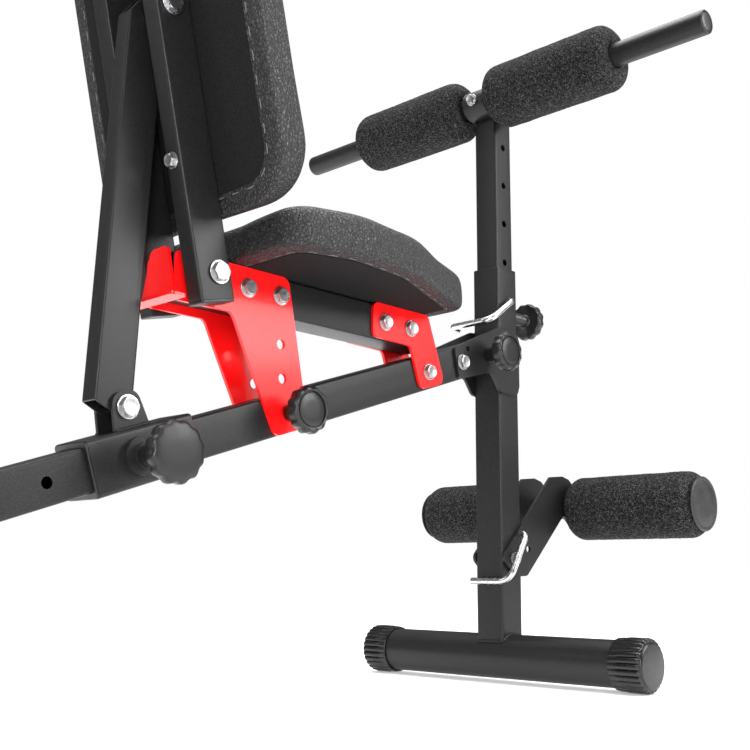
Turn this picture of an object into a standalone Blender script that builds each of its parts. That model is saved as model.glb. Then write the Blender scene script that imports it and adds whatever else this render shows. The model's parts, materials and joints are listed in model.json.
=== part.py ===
"""Decline sit up bench: a sloping main beam on a rear foot, a folding front post that carries two
pairs of foam rollers, a level seat on red plates, and a backrest set by a strut on a sliding sleeve.

Frame: +X points forward to the roller post, +Y to the left of a person on the seat, +Z up. The origin
is on the floor, under the middle of the bench. Side-view places are (x, z) pairs measured forward
from the post's centre line, and POST_X shifts them all to the origin.
"""

import math

import bmesh
import bpy
from mathutils import Matrix, Vector

MM = 0.001

# --- driving dimensions, in millimetres ---
REAR_FOOT_X = -1290.0  # axis of the rear foot
FRONT_REACH = 193.0  # front of the lower rollers
CAP_R = 34.2  # foot caps, over their ribs
POST_X = -(REAR_FOOT_X - CAP_R + FRONT_REACH) / 2
GAP = 0.3  # between faces that touch

TUBE = 45.0  # main beam, seat beam and outer post, square
WALL = 2.0
TUBE_CORNER = 3.0
BEAM_SLOPE = math.radians(18.51)
BEAM_Z = 466.0  # height of the beam's axis on the post's centre line
BEAM_FRONT = -38.0  # distances along the beam are counted forward from that line
FOLD_PIVOT = -116.0
FOLD_PIN = -57.0
SEAT_PIVOT = -190.0
SEAT_PIN = -447.6
SLEEVE_PIN = -655.3
PIN_PITCH = 101.6
PIN_HOLES = 7
PIN_HOLE_R = 6.0

FOOT_R, FOOT_HALF, CAP_LENGTH = 30.0, 236.6, 47.0
POST_TOP, PIN_Z, PIN_STEP = 582.0, 536.0, 59.3
INNER_TUBE, INNER_BOTTOM, INNER_TOP = 38.0, 420.0, 832.0
UPPER_BAR = (-27.0, 839.0)
UPPER_BAR_R, UPPER_BAR_HALF, RING_R = 16.0, 362.0, 22.0
FOAM_R, UPPER_FOAM = 46.0, (27.0, 232.0)
BRACKET_PIVOT = (0.0, 167.0)
LOWER_BAR = (147.0, 241.6)
LOWER_BAR_R, LOWER_FOAM, DISC_R, DISC_FACE = 14.0, (34.0, 237.0), 37.5, 241.0
BRACKET_SWING = math.radians(48)
PIN_HOLE = (12.5, 201.5)  # bracket lock pin

PLATE = 4.0
PLATE_Y = TUBE / 2 + GAP + PLATE / 2  # middle of the plates that clasp the 45 mm tubes
SEAT_BEAM_Z, SEAT_BEAM_REAR, SEAT_BEAM_FRONT = 457.8, -586.0, -176.0
BACK_PIVOT = (-552.3, 457.0)
BACK_LEAN = math.radians(13.3)
RAIL_IN, RAIL_OUT, RAIL_DEPTH = 31.5, 56.5, 45.0
RAIL_BELOW, RAIL_ABOVE = 28.6, 470.0  # rail ends, from the pivot
RAIL_SHIFT = -5.7  # middle of a rail, forward of its pivot
STRUT_FROM_PIVOT = 288.0  # strut bolt, along the rail
STRUT_BOLT_DEPTH = 20.5  # strut bolt, from the rail's rear face
SLEEVE, SLEEVE_WALL, SLEEVE_SPAN = 58.0, 3.0, (-710.0, -584.0)
EAR_S, EAR_OFF = -648.5, 50.2  # strut's lower pivot, along the beam and above its axis
STRUT_DEPTH, STRUT_WIDTH = 45.0, 25.0
STRUT_SLOT = (14.0, 214.0, 314.0)  # relief behind the back pad: half width, and its ends up the rail
SLOT_DEPTH = 25.5  # in from the rails' front faces

SEAT_BOARD = (481.8, 489.5)
SEAT_PAD_TOP = 531.0
BOARD = 9.0
BACK_PAD = 34.0
BACK_PAD_SPAN = (58.0, 750.0)
BACK_PAD_HALF, BACK_PAD_CORNER = 161.0, 58.0

COLLECTION = bpy.data.collections.new("decline_sit_up_bench")
CUTTERS = bpy.data.collections.new("cutters")
SIDES = (("left", 1), ("right", -1))


def on_beam(s, off=0.0):
    """The side-view place s along the beam and off above its axis."""
    c, n = math.cos(BEAM_SLOPE), math.sin(BEAM_SLOPE)
    return s * c - off * n, BEAM_Z + s * n + off * c


def on_rail(along, depth=0.0):
    """The side-view place along a back rail from its pivot, and depth forward of its middle."""
    c, n = math.cos(BACK_LEAN), math.sin(BACK_LEAN)
    depth += RAIL_SHIFT
    return BACK_PIVOT[0] - along * n + depth * c, BACK_PIVOT[1] + along * c + depth * n


def at(x, y, z):
    return Vector(((POST_X + x) * MM, y * MM, z * MM))


# --- materials ---
def material(name, color, roughness, metallic=0.0):
    made = bpy.data.materials.new(name)
    made.use_nodes = True
    shader = made.node_tree.nodes["Principled BSDF"]
    shader.inputs["Base Color"].default_value = (*color, 1)
    shader.inputs["Roughness"].default_value = roughness
    shader.inputs["Metallic"].default_value = metallic
    return made


BLACK_PAINT = material("black_powder_coat", (0.022, 0.022, 0.024), 0.42)
RED_PAINT = material("red_powder_coat", (0.78, 0.012, 0.012), 0.3)
STEEL = material("zinc_steel", (0.72, 0.72, 0.74), 0.22, 1.0)
PLASTIC = material("black_plastic", (0.02, 0.02, 0.021), 0.35)
FOAM = material("black_foam", (0.016, 0.016, 0.017), 0.92)
VINYL = material("black_vinyl", (0.02, 0.02, 0.021), 0.5)
BACKING = material("black_backing", (0.014, 0.014, 0.015), 0.8)


# --- building blocks ---
def in_scene(obj, collection=COLLECTION):
    collection.objects.link(obj)
    return obj


def finish(name, mesh, kind, matrix):
    """The mesh as a named object at this place, shaded smooth between its sharp edges."""
    mesh.materials.append(kind)
    mesh.shade_smooth()
    mesh.set_sharp_from_angle(angle=math.radians(35))
    obj = in_scene(bpy.data.objects.new(name, mesh))
    obj.matrix_world = matrix
    return obj


def facing(origin, z_axis, x_axis):
    """A placement whose local Z and X run along these world directions."""
    z, x = Vector(z_axis).normalized(), Vector(x_axis).normalized()
    turn = Matrix((x, z.cross(x), z)).transposed()
    return Matrix.Translation(origin) @ turn.to_4x4()


def across(x, y, z):
    """Local Z along world -Y, local X along world X, so that an (x, z) outline keeps its handedness."""
    return facing(at(x, y, z), (0, -1, 0), (1, 0, 0))


def rounded(corners, steps=3):
    """A closed outline through (x, y, radius) corners, each rounded with an arc."""
    points = []
    for i, (x, y, radius) in enumerate(corners):
        here = Vector((x, y))
        back = (Vector(corners[i - 1][:2]) - here).normalized()
        ahead = (Vector(corners[(i + 1) % len(corners)][:2]) - here).normalized()
        if radius == 0:
            points.append(here)
            continue
        half = back.angle(ahead) / 2
        middle = here + (back + ahead).normalized() * radius / math.sin(half)
        first = here + back * radius / math.tan(half) - middle
        turn = (here + ahead * radius / math.tan(half) - middle).angle_signed(first)
        for step in range(steps + 1):
            points.append(middle + Matrix.Rotation(turn * step / steps, 2) @ first)
    return [(p.x, p.y) for p in points]


def circle(radius, count=10, x=0.0, y=0.0, phase=0.5):
    turn = 2 * math.pi / count
    return [
        (x + radius * math.cos((i + phase) * turn), y + radius * math.sin((i + phase) * turn))
        for i in range(count)
    ]


def rectangle(width, height, radius=TUBE_CORNER, steps=2):
    w, h = width / 2, height / 2
    return rounded([(-w, -h, radius), (w, -h, radius), (w, h, radius), (-w, h, radius)], steps)


def extruded(name, outlines, thickness, kind, matrix):
    """A flat outline with its holes, made this thick about the local XY plane."""
    curve = bpy.data.curves.new(name, "CURVE")
    curve.dimensions, curve.fill_mode, curve.extrude = "2D", "BOTH", thickness / 2 * MM
    for outline in outlines:
        spline = curve.splines.new("POLY")
        spline.points.add(len(outline) - 1)
        for point, (x, y) in zip(spline.points, outline):
            point.co = (x * MM, y * MM, 0, 1)
        spline.use_cyclic_u = True
    guide = in_scene(bpy.data.objects.new(name + "_outline", curve))
    bpy.context.view_layer.update()
    mesh = bpy.data.meshes.new_from_object(
        guide.evaluated_get(bpy.context.evaluated_depsgraph_get())
    )
    bpy.data.objects.remove(guide)
    made = bmesh.new()
    made.from_mesh(mesh)
    bmesh.ops.remove_doubles(made, verts=made.verts, dist=1e-6)
    bmesh.ops.recalc_face_normals(made, faces=made.faces)
    made.to_mesh(mesh)
    made.free()
    mesh.name = name
    mesh.materials.clear()
    return finish(name, mesh, kind, matrix)


def lofted(name, rings, kind, matrix, hollow=False):
    """A skin over rings of equal point counts, each an outline at a local height. A hollow loft joins
    its last ring to its first, and any other is closed by its end rings."""
    made = bmesh.new()
    loops = [[made.verts.new((x * MM, y * MM, h * MM)) for x, y in ring] for ring, h in rings]
    pairs = list(zip(loops, loops[1:])) + ([(loops[-1], loops[0])] if hollow else [])
    for low, high in pairs:
        for i in range(len(low)):
            j = (i + 1) % len(low)
            made.faces.new((low[i], low[j], high[j], high[i]))
    if not hollow:
        made.faces.new(loops[0])
        made.faces.new(loops[-1])
    bmesh.ops.recalc_face_normals(made, faces=made.faces)
    mesh = bpy.data.meshes.new(name)
    made.to_mesh(mesh)
    made.free()
    return finish(name, mesh, kind, matrix)


def square_tube(name, start, end, width, depth, y, kind, wall=WALL, corner=TUBE_CORNER):
    """A hollow tube in the side view from start to end, this wide along Y."""
    run = Vector((end[0] - start[0], 0, end[1] - start[1]))
    middle = at((start[0] + end[0]) / 2, y, (start[1] + end[1]) / 2)
    inner = rectangle(width - 2 * wall, depth - 2 * wall, corner - wall, 1)
    outer = rectangle(width, depth, corner)
    return extruded(name, [outer, inner], run.length, kind, facing(middle, run, (0, 1, 0)))


def round_tube(name, radius, half, kind, place, wall=WALL, count=20):
    """A hollow round tube along Y."""
    x, z = place
    return extruded(
        name, [circle(radius, count), circle(radius - wall, count)], 2 * half, kind, across(x, 0, z)
    )


def cylinder(name, radius, start, end, count=10):
    """A cutter between two points."""
    made = bmesh.new()
    bmesh.ops.create_cone(
        made, cap_ends=True, segments=count, radius1=radius * MM, radius2=radius * MM,
        depth=(end - start).length,
    )
    mesh = bpy.data.meshes.new(name)
    made.to_mesh(mesh)
    made.free()
    cutter = in_scene(bpy.data.objects.new(name, mesh), CUTTERS)
    cutter.matrix_world = facing((start + end) / 2, end - start, (end - start).orthogonal())
    cutter.hide_render = True
    cutter.display_type = "WIRE"
    return cutter


def cut(target, cutter, operation="DIFFERENCE"):
    modifier = target.modifiers.new(cutter.name, "BOOLEAN")
    modifier.operation, modifier.object, modifier.solver = operation, cutter, "EXACT"


def as_cutter(obj):
    COLLECTION.objects.unlink(obj)
    in_scene(obj, CUTTERS)
    obj.hide_render, obj.display_type = True, "WIRE"
    return obj


def drill(target, x, z, radius, low=-80.0, high=80.0):
    """A hole along Y through the target."""
    name = f"{target.name}_hole_{len(target.modifiers)}"
    cut(target, cylinder(name, radius, at(x, low, z), at(x, high, z)))


def body(name, place, pieces):
    """An empty on the joint's axis that carries the pieces of one moving body."""
    empty = in_scene(bpy.data.objects.new(name, None))
    empty.location = at(*place)
    bpy.context.view_layer.update()
    for piece in pieces:
        piece.parent = empty
        piece.matrix_parent_inverse = empty.matrix_world.inverted()
    return empty


HEX = 12  # points in every ring of a bolt, corners and flats in turn


def hexagon(flats):
    corner = flats / math.sqrt(3)
    return [
        (r * math.cos(math.pi * i / 6), r * math.sin(math.pi * i / 6))
        for i, r in enumerate([corner, flats / 2] * 6)
    ]


def bolt(name, matrix, grip, shank=4.8, flats=16.0, washer=11.0, nut=True):
    """A hex bolt with washers. Local Z is the outward side of the head, and the washer sits on Z = 0."""
    head, rim = hexagon(flats), circle(washer, HEX, phase=0)
    stem = circle(shank, HEX, phase=0)
    rings = [(head, 7.2), (head, 1.9), (rim, 1.9), (rim, GAP), (stem, GAP)]
    if nut:
        rings += [
            (stem, -grip - GAP), (rim, -grip - GAP), (rim, -grip - 1.9), (head, -grip - 1.9),
            (head, -grip - 9.0),
        ]
    else:
        rings.append((stem, -grip))
    return lofted(name, rings, STEEL, matrix)


def lobed(radius, lobes, depth, count):
    return [
        (
            (radius - depth * (0.5 + 0.5 * math.cos(lobes * t))) * math.cos(t),
            (radius - depth * (0.5 + 0.5 * math.cos(lobes * t))) * math.sin(t),
        )
        for t in (2 * math.pi * i / count for i in range(count))
    ]


def knob(name, matrix, radius, face, thick, reach, neck=13.0, neck_length=14.0, pin=4.8, lobes=12):
    """A lobed hand knob on a pin. Local Z = 0 is the surface that its neck stands off, face is the
    height of its outer face, and the pin reaches this far behind the surface."""
    count = 24
    grip = lobed(radius, lobes, radius * 0.09, count)
    slim = lobed(radius * 0.86, lobes, radius * 0.05, count)
    low = face - thick
    rings = [
        (slim, face), (grip, face - thick * 0.3), (grip, low + thick * 0.2), (slim, low),
        (circle(neck, count, phase=0), low),
        (circle(neck, count, phase=0), max(low - neck_length, 1.0)),
        (circle(pin, count, phase=0), max(low - neck_length, 1.0)),
        (circle(pin, count, phase=0), -reach),
    ]
    return lofted(name, rings, PLASTIC, matrix)


def foam_roller(name, place, side, span, bore):
    """A foam sleeve with rounded ends, free to turn on its bar."""
    ends, arc = 20.0, 2
    profile = [(bore, span[0] + 1.0), (bore, span[1] - 1.0)]
    for inner, outer, first in ((span[1] - ends, 0, 0), (span[0] + ends, 0, 1)):
        for step in range(arc + 1):
            turn = math.pi / 2 * (1 - step / arc if first == 0 else step / arc)
            sign = 1 if first == 0 else -1
            profile.append((FOAM_R - ends + ends * math.cos(turn), inner + sign * ends * math.sin(turn)))
    rings = [(circle(r, 20), h) for r, h in profile]
    x, z = place
    return lofted(name, rings, FOAM, facing(at(x, 0, z), (0, side, 0), (1, 0, 0)), hollow=True)


def wire_pin(name, points, radius, kind=STEEL):
    """A bent round wire through these (x, y, z) points."""
    curve = bpy.data.curves.new(name, "CURVE")
    curve.dimensions, curve.bevel_depth, curve.bevel_resolution = "3D", radius * MM, 1
    curve.use_fill_caps = True
    spline = curve.splines.new("POLY")
    spline.points.add(len(points) - 1)
    for point, place in zip(spline.points, points):
        point.co = (*at(*place), 1)
    guide = in_scene(bpy.data.objects.new(name + "_route", curve))
    bpy.context.view_layer.update()
    mesh = bpy.data.meshes.new_from_object(
        guide.evaluated_get(bpy.context.evaluated_depsgraph_get())
    )
    bpy.data.objects.remove(guide)
    made = bmesh.new()
    made.from_mesh(mesh)
    bmesh.ops.remove_doubles(made, verts=made.verts, dist=1e-6)
    bmesh.ops.recalc_face_normals(made, faces=made.faces)
    made.to_mesh(mesh)
    made.free()
    mesh.materials.clear()
    return finish(name, mesh, kind, Matrix.Identity(4))


def bent(points, radii, steps=2):
    """The corner points of a wire route, with each inner corner rounded by its own radius."""
    route = [Vector(points[0])]
    for before, here, after, radius in zip(points, points[1:], points[2:], radii):
        here = Vector(here)
        back, ahead = (Vector(before) - here).normalized(), (Vector(after) - here).normalized()
        for step in range(steps + 1):
            t = step / steps
            route.append(here + (back * (1 - t) ** 2 + ahead * t**2) * radius)
    return route + [Vector(points[-1])]


# --- feet ---
def foot(prefix, x):
    """A transverse floor tube with a ribbed cap on each end."""
    pieces = [round_tube(prefix + "_tube", FOOT_R, FOOT_HALF - 4, BLACK_PAINT, (x, CAP_R))]
    ribs = 16
    outer = []
    for i in range(2 * ribs):
        turn = 2 * math.pi * (i + 0.5) / (2 * ribs) - math.pi / 2
        radius = CAP_R if i % 2 == 0 or i == 2 * ribs - 1 else CAP_R - 1.6
        outer.append((radius * math.cos(turn), radius * math.sin(turn)))
    land = CAP_R * math.cos(math.pi / (2 * ribs))  # the lowest rib is flat on the floor
    outer = [(px * CAP_R / land, -CAP_R) if py < -land + 0.01 else (px, py) for px, py in outer]

    def ring(radius):
        turns = (2 * math.pi * (i + 0.5) / (2 * ribs) - math.pi / 2 for i in range(2 * ribs))
        return [(radius * math.cos(turn), radius * math.sin(turn)) for turn in turns]

    bore, face = ring(FOOT_R + GAP + 0.2), ring(CAP_R - 5)
    for side, sign in SIDES:
        rings = [
            (bore, FOOT_HALF - 4 + GAP), (bore, FOOT_HALF - CAP_LENGTH),
            (outer, FOOT_HALF - CAP_LENGTH), (outer, FOOT_HALF - 3), (face, FOOT_HALF),
        ]
        place = facing(at(x, 0, CAP_R), (0, sign, 0), (1, 0, 0))
        if sign > 0:
            rings = [([(px, -py) for px, py in ring], h) for ring, h in rings]
        pieces.append(lofted(f"{prefix}_cap_{side}", rings, PLASTIC, place))
    return pieces


# --- base: main beam, rear foot and the seat ---
def main_beam():
    rear = REAR_FOOT_X / math.cos(BEAM_SLOPE)
    beam = square_tube("main_beam", on_beam(rear), on_beam(BEAM_FRONT), TUBE, TUBE, 0, BLACK_PAINT)
    foot_cutter = cylinder(
        "beam_cope", FOOT_R + GAP, at(REAR_FOOT_X, -60, CAP_R), at(REAR_FOOT_X, 60, CAP_R), 40
    )
    cut(beam, foot_cutter)
    for k in range(PIN_HOLES):
        drill(beam, *on_beam(SLEEVE_PIN - k * PIN_PITCH), PIN_HOLE_R)
    for s in (FOLD_PIVOT, SEAT_PIVOT):
        drill(beam, *on_beam(s), 5.3)
    for s in (FOLD_PIN, SEAT_PIN):
        drill(beam, *on_beam(s), PIN_HOLE_R)
    return beam


FRONT_BOLTS = ((-264.5, SEAT_BEAM_Z), (-216.2, SEAT_BEAM_Z))
REAR_BOLTS = ((-488.3, SEAT_BEAM_Z), (-440.1, SEAT_BEAM_Z))
BOLT_HOLE = 5.4


def seat_frame():
    beam = square_tube(
        "seat_beam", (SEAT_BEAM_REAR, SEAT_BEAM_Z), (SEAT_BEAM_FRONT, SEAT_BEAM_Z), TUBE, TUBE, 0,
        BLACK_PAINT,
    )
    for x, z in FRONT_BOLTS + REAR_BOLTS + (BACK_PIVOT,):
        drill(beam, x, z, BOLT_HOLE)
    pieces = [beam]
    pivot = on_beam(SEAT_PIVOT)
    front = rounded(
        [
            (-285.5, 436.5, 9), (-215.5, 435.0, 8), (-195.5, 380.1, 11), (-148.4, 394.9, 11),
            (-181.0, 481.5, 9), (-285.5, 481.5, 9),
        ]
    )
    arm = math.dist(pivot, on_beam(SEAT_PIN))
    locks = [
        (pivot[0] - arm * math.cos(t), pivot[1] - arm * math.sin(t))
        for t in (BEAM_SLOPE, BEAM_SLOPE - math.radians(8.8), BEAM_SLOPE - math.radians(17.6))
    ]
    rear = rounded(
        [
            (-586.0, 426.2, 7), (-509.5, 426.2, 10), (-442.8, 294.7, 10), (-393.3, 311.1, 14),
            (-428.0, 481.5, 11), (-586.0, 481.5, 6),
        ]
    )
    front_holes = [circle(BOLT_HOLE, x=x, y=z) for x, z in FRONT_BOLTS + (pivot,)]
    rear_holes = [circle(BOLT_HOLE, x=x, y=z) for x, z in REAR_BOLTS + (BACK_PIVOT,)]
    rear_holes += [circle(PIN_HOLE_R, x=x, y=z) for x, z in locks]
    for side, sign in SIDES:
        y = sign * PLATE_Y
        pieces.append(
            extruded(f"seat_front_plate_{side}", [front, *front_holes], PLATE, RED_PAINT, across(0, y, 0))
        )
        pieces.append(
            extruded(f"seat_rear_plate_{side}", [rear, *rear_holes], PLATE, RED_PAINT, across(0, y, 0))
        )
    pieces.append(back_stop())
    return pieces


def back_stop():
    """A folded rest at the seat beam's rear end: an upright web and a ledge under both rails."""
    fold, ledge_top = 3.5, 428.3
    web_x = SEAT_BEAM_REAR - 0.6
    low = ledge_top - 1.5
    web = rounded([(-30, low, 0), (30, low, 0), (15, 487, 8), (-15, 487, 8)])
    upright = extruded(
        "back_stop", [web], fold, RED_PAINT, facing(at(web_x - fold / 2, 0, 0), (1, 0, 0), (0, 1, 0))
    )
    ledge = rounded([(-606, -48, 5), (web_x - 0.5, -48, 2), (web_x - 0.5, 48, 2), (-606, 48, 5)])
    shelf = extruded(
        "back_stop_ledge", [ledge], fold, RED_PAINT,
        facing(at(0, 0, ledge_top - fold / 2), (0, 0, 1), (1, 0, 0)),
    )
    cut(upright, as_cutter(shelf), "UNION")
    return upright


def outline_between(stations):
    """A symmetric plan through (x, half width, corner radius) stations, left side then right side."""
    right = [(x, -w, r) for x, w, r in stations]
    left = [(x, w, r) for x, w, r in reversed(stations)]
    return rounded(right + left, 4)


def seat_pad():
    plan = ((-514, 128, 46), (-430, 156, 120), (-330, 146, 160), (-166, 76, 34))
    board = outline_between([(x + (8 if x < -400 else -8), w - 8, r - 6) for x, w, r in plan])
    low, high = SEAT_BOARD
    under = extruded(
        "seat_board", [board], high - low, BACKING, facing(at(0, 0, (low + high) / 2), (0, 0, 1), (1, 0, 0))
    )
    full = outline_between(plan)
    centre = (-345.0, 0.0)

    def shrunk(inset):
        return [
            (centre[0] + (x - centre[0]) * (1 - inset / 160), y * (1 - inset / 150)) for x, y in full
        ]

    rings = [
        (shrunk(4), high + GAP), (full, high + 6), (full, SEAT_PAD_TOP - 14),
        (shrunk(4), SEAT_PAD_TOP - 6), (shrunk(14), SEAT_PAD_TOP),
    ]
    pad = lofted("seat_pad", rings, VINYL, facing(at(0, 0, 0), (0, 0, 1), (1, 0, 0)))
    return [under, pad]


def side_bolt(name, x, z, half, **shape):
    """A bolt along Y through a stack this wide on both sides, its head on the right."""
    return bolt(name, across(x, -half, z), 2 * half, **shape)


def seat_bolts():
    outer = PLATE_Y + PLATE / 2
    pieces = [
        side_bolt(f"seat_{end}_bolt_{i + 1}", x, z, outer)
        for end, row in (("front", FRONT_BOLTS), ("rear", REAR_BOLTS))
        for i, (x, z) in enumerate(row)
    ]
    pieces.append(side_bolt("seat_pivot_bolt", *on_beam(SEAT_PIVOT), outer))
    pieces.append(side_bolt("back_pivot_bolt", *BACK_PIVOT, RAIL_OUT + 0.5, flats=19.0, washer=13.0))
    return pieces


# --- backrest ---
def backrest():
    pieces = []
    along, depth = STRUT_FROM_PIVOT, STRUT_BOLT_DEPTH - RAIL_DEPTH / 2
    strut_bolt = on_rail(along, depth)
    rear_face = -RAIL_DEPTH / 2
    pad_bolts = (121.4, 400.0)
    for side, sign in SIDES:
        y = sign * (RAIL_IN + RAIL_OUT) / 2
        rail = square_tube(
            f"back_rail_{side}", on_rail(-RAIL_BELOW), on_rail(RAIL_ABOVE), RAIL_OUT - RAIL_IN,
            RAIL_DEPTH, y, BLACK_PAINT,
        )
        drill(rail, *BACK_PIVOT, BOLT_HOLE)
        drill(rail, *strut_bolt, BOLT_HOLE)
        for where in pad_bolts:
            start, end = on_rail(where, rear_face - 5), on_rail(where, -rear_face + 5)
            cutter = cylinder(f"{rail.name}_bolt_hole_{where:.0f}", 4.4, at(start[0], y, start[1]),
                              at(end[0], y, end[1]))
            cut(rail, cutter)
        pieces.append(rail)
        plug = extruded(
            f"back_rail_plug_{side}", [rectangle(RAIL_OUT - RAIL_IN, RAIL_DEPTH)], 3.0, PLASTIC,
            facing(_at2(on_rail(-RAIL_BELOW - GAP - 1.5), y), _rail_direction(), (0, 1, 0)),
        )
        pieces.append(plug)
        head = on_rail(pad_bolts[0], rear_face)
        forward = (math.cos(BACK_LEAN), 0, math.sin(BACK_LEAN))
        pieces.append(
            bolt(f"back_pad_bolt_{side}", facing(_at2(head, y), [-c for c in forward], (0, 1, 0)),
                 RAIL_DEPTH + 8.0, shank=3.8, flats=13.0, washer=9.0, nut=False)
        )
        stub = facing(at(strut_bolt[0], sign * (RAIL_OUT + 0.2), strut_bolt[1]), (0, sign, 0), (1, 0, 0))
        pieces.append(bolt(f"strut_top_bolt_{side}", stub, RAIL_OUT - STRUT_WIDTH / 2 - 0.6, flats=19.0,
                           washer=13.0, nut=False))
    return pieces + back_pad(pad_bolts)


def _at2(place, y):
    return at(place[0], y, place[1])


def _rail_direction():
    return (-math.sin(BACK_LEAN), 0, math.cos(BACK_LEAN))


def back_pad(pad_bolts):
    low, high = BACK_PAD_SPAN
    face = RAIL_DEPTH / 2 + GAP
    forward = Vector((math.cos(BACK_LEAN), 0, math.sin(BACK_LEAN)))

    def frame(depth):
        return facing(_at2(on_rail(0, depth), 0), forward, (0, 1, 0))

    def outline(inset, lift=0.0):
        # local X is world Y, local Y runs up the rail
        w, r, foot = BACK_PAD_HALF - inset, BACK_PAD_CORNER - inset, low + inset + lift
        return rounded([(-w, foot, r), (w, foot, r), (w, high - inset, r), (-w, high - inset, r)], 4)

    board = extruded("back_board", [outline(8)], BOARD, BACKING, frame(face + BOARD / 2))
    for side, sign in SIDES:
        for where in pad_bolts:
            y = sign * (RAIL_IN + RAIL_OUT) / 2
            start, end = on_rail(where, face - 2), on_rail(where, face + BOARD + 2)
            cut(board, cylinder(f"back_board_hole_{side}_{where:.0f}", 4.4, _at2(start, y), _at2(end, y)))
    rings = [
        (outline(4), 0), (outline(0, 3), 6), (outline(0, 12), BACK_PAD - 16),
        (outline(4, 22), BACK_PAD - 6), (outline(14, 34), BACK_PAD),
    ]
    pad = lofted("back_pad", rings, VINYL, frame(face + BOARD + GAP))
    half, low, high = STRUT_SLOT
    slot = rounded([(-half, low, 0), (half, low, 0), (half, high, 0), (-half, high, 0)])
    deep = (SLOT_DEPTH - 2) / 2
    cutter = as_cutter(extruded("strut_slot", [slot], SLOT_DEPTH + 2, VINYL, frame(face + deep)))
    cut(board, cutter)
    cut(pad, cutter)
    return [board, pad]


# --- sleeve and strut ---
def sleeve():
    start, end = SLEEVE_SPAN
    tube = square_tube(
        "slider_sleeve", on_beam(start), on_beam(end), SLEEVE, SLEEVE, 0, BLACK_PAINT, SLEEVE_WALL,
        SLEEVE_WALL + 1.5,
    )
    x, z = on_beam(SLEEVE_PIN)
    face = -SLEEVE / 2
    for name, r, low, out in (("knob_flange", 20.0, 1.0, 7.0), ("knob_socket", 13.5, 1.6, 13.0)):
        cut(tube, cylinder(name, r, at(x, face + low, z), at(x, face - out, z), 24), "UNION")
    drill(tube, x, z, PIN_HOLE_R, -80.0, 0.0)
    pieces = [tube]
    radius = 17.0
    top = SLEEVE / 2 + GAP
    for side, sign in SIDES:
        ear = rounded(
            [(EAR_S - 21, top, 0), (EAR_S + 21, top, 0), (EAR_S + 15, EAR_OFF + radius, radius * 0.8),
             (EAR_S - 15, EAR_OFF + radius, radius * 0.8)],
        )
        hole = circle(BOLT_HOLE, x=EAR_S, y=EAR_OFF)
        y = sign * (STRUT_WIDTH / 2 + 0.8 + PLATE / 2)
        x, z = on_beam(0)
        place = facing(at(x, y, z), (0, -1, 0), (math.cos(BEAM_SLOPE), 0, math.sin(BEAM_SLOPE)))
        pieces.append(extruded(f"strut_ear_{side}", [ear, hole], PLATE, BLACK_PAINT, place))
    pieces.append(side_bolt("strut_pivot_bolt", *on_beam(EAR_S, EAR_OFF), STRUT_WIDTH / 2 + 0.8 + PLATE,
                            flats=19.0, washer=13.0))
    return pieces


def strut():
    """A rectangular tube, cut to a point at its top and along a slant at its foot."""
    low, high = on_beam(EAR_S, EAR_OFF), on_rail(STRUT_FROM_PIVOT, STRUT_BOLT_DEPTH - RAIL_DEPTH / 2)
    lean = math.radians(90 - 2.4)
    up = Vector((math.cos(lean), math.sin(lean)))
    front = Vector((math.sin(lean), -math.cos(lean)))
    top, foot_pivot = Vector(high), Vector(low)
    half = STRUT_DEPTH / 2
    axis_top = top + up * 20.0
    run = (axis_top - foot_pivot).dot(up) + 20.0
    axis_low = axis_top - up * run
    tube = square_tube("strut", tuple(axis_low), tuple(axis_top), STRUT_WIDTH, STRUT_DEPTH, 0, BLACK_PAINT)
    drill(tube, *high, BOLT_HOLE)
    drill(tube, *low, BOLT_HOLE)

    def trim(name, corners):
        outline = [tuple(corner) for corner in corners]
        cut(tube, as_cutter(extruded(name, [outline], 60, BLACK_PAINT, across(0, 0, 0))))

    for i, sign in enumerate((1, -1)):
        edge = top + front * sign * half
        tip = top + front * sign * 9.0 + up * 20.0
        out = tip - edge
        trim(f"strut_top_trim_{i}", [edge - out * 0.3, edge + front * sign * 30,
                                     tip + front * sign * 30 + up * 30, tip + out * 0.3])
    rear_low = foot_pivot - front * 35.6 + up * 3
    front_low = foot_pivot + front * 9.4 - up * 18
    out = front_low - rear_low
    trim("strut_foot_trim", [rear_low - out * 0.2, rear_low - out * 0.2 - up * 60,
                             front_low + out * 0.2 - up * 60, front_low + out * 0.2])
    return tube


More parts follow.
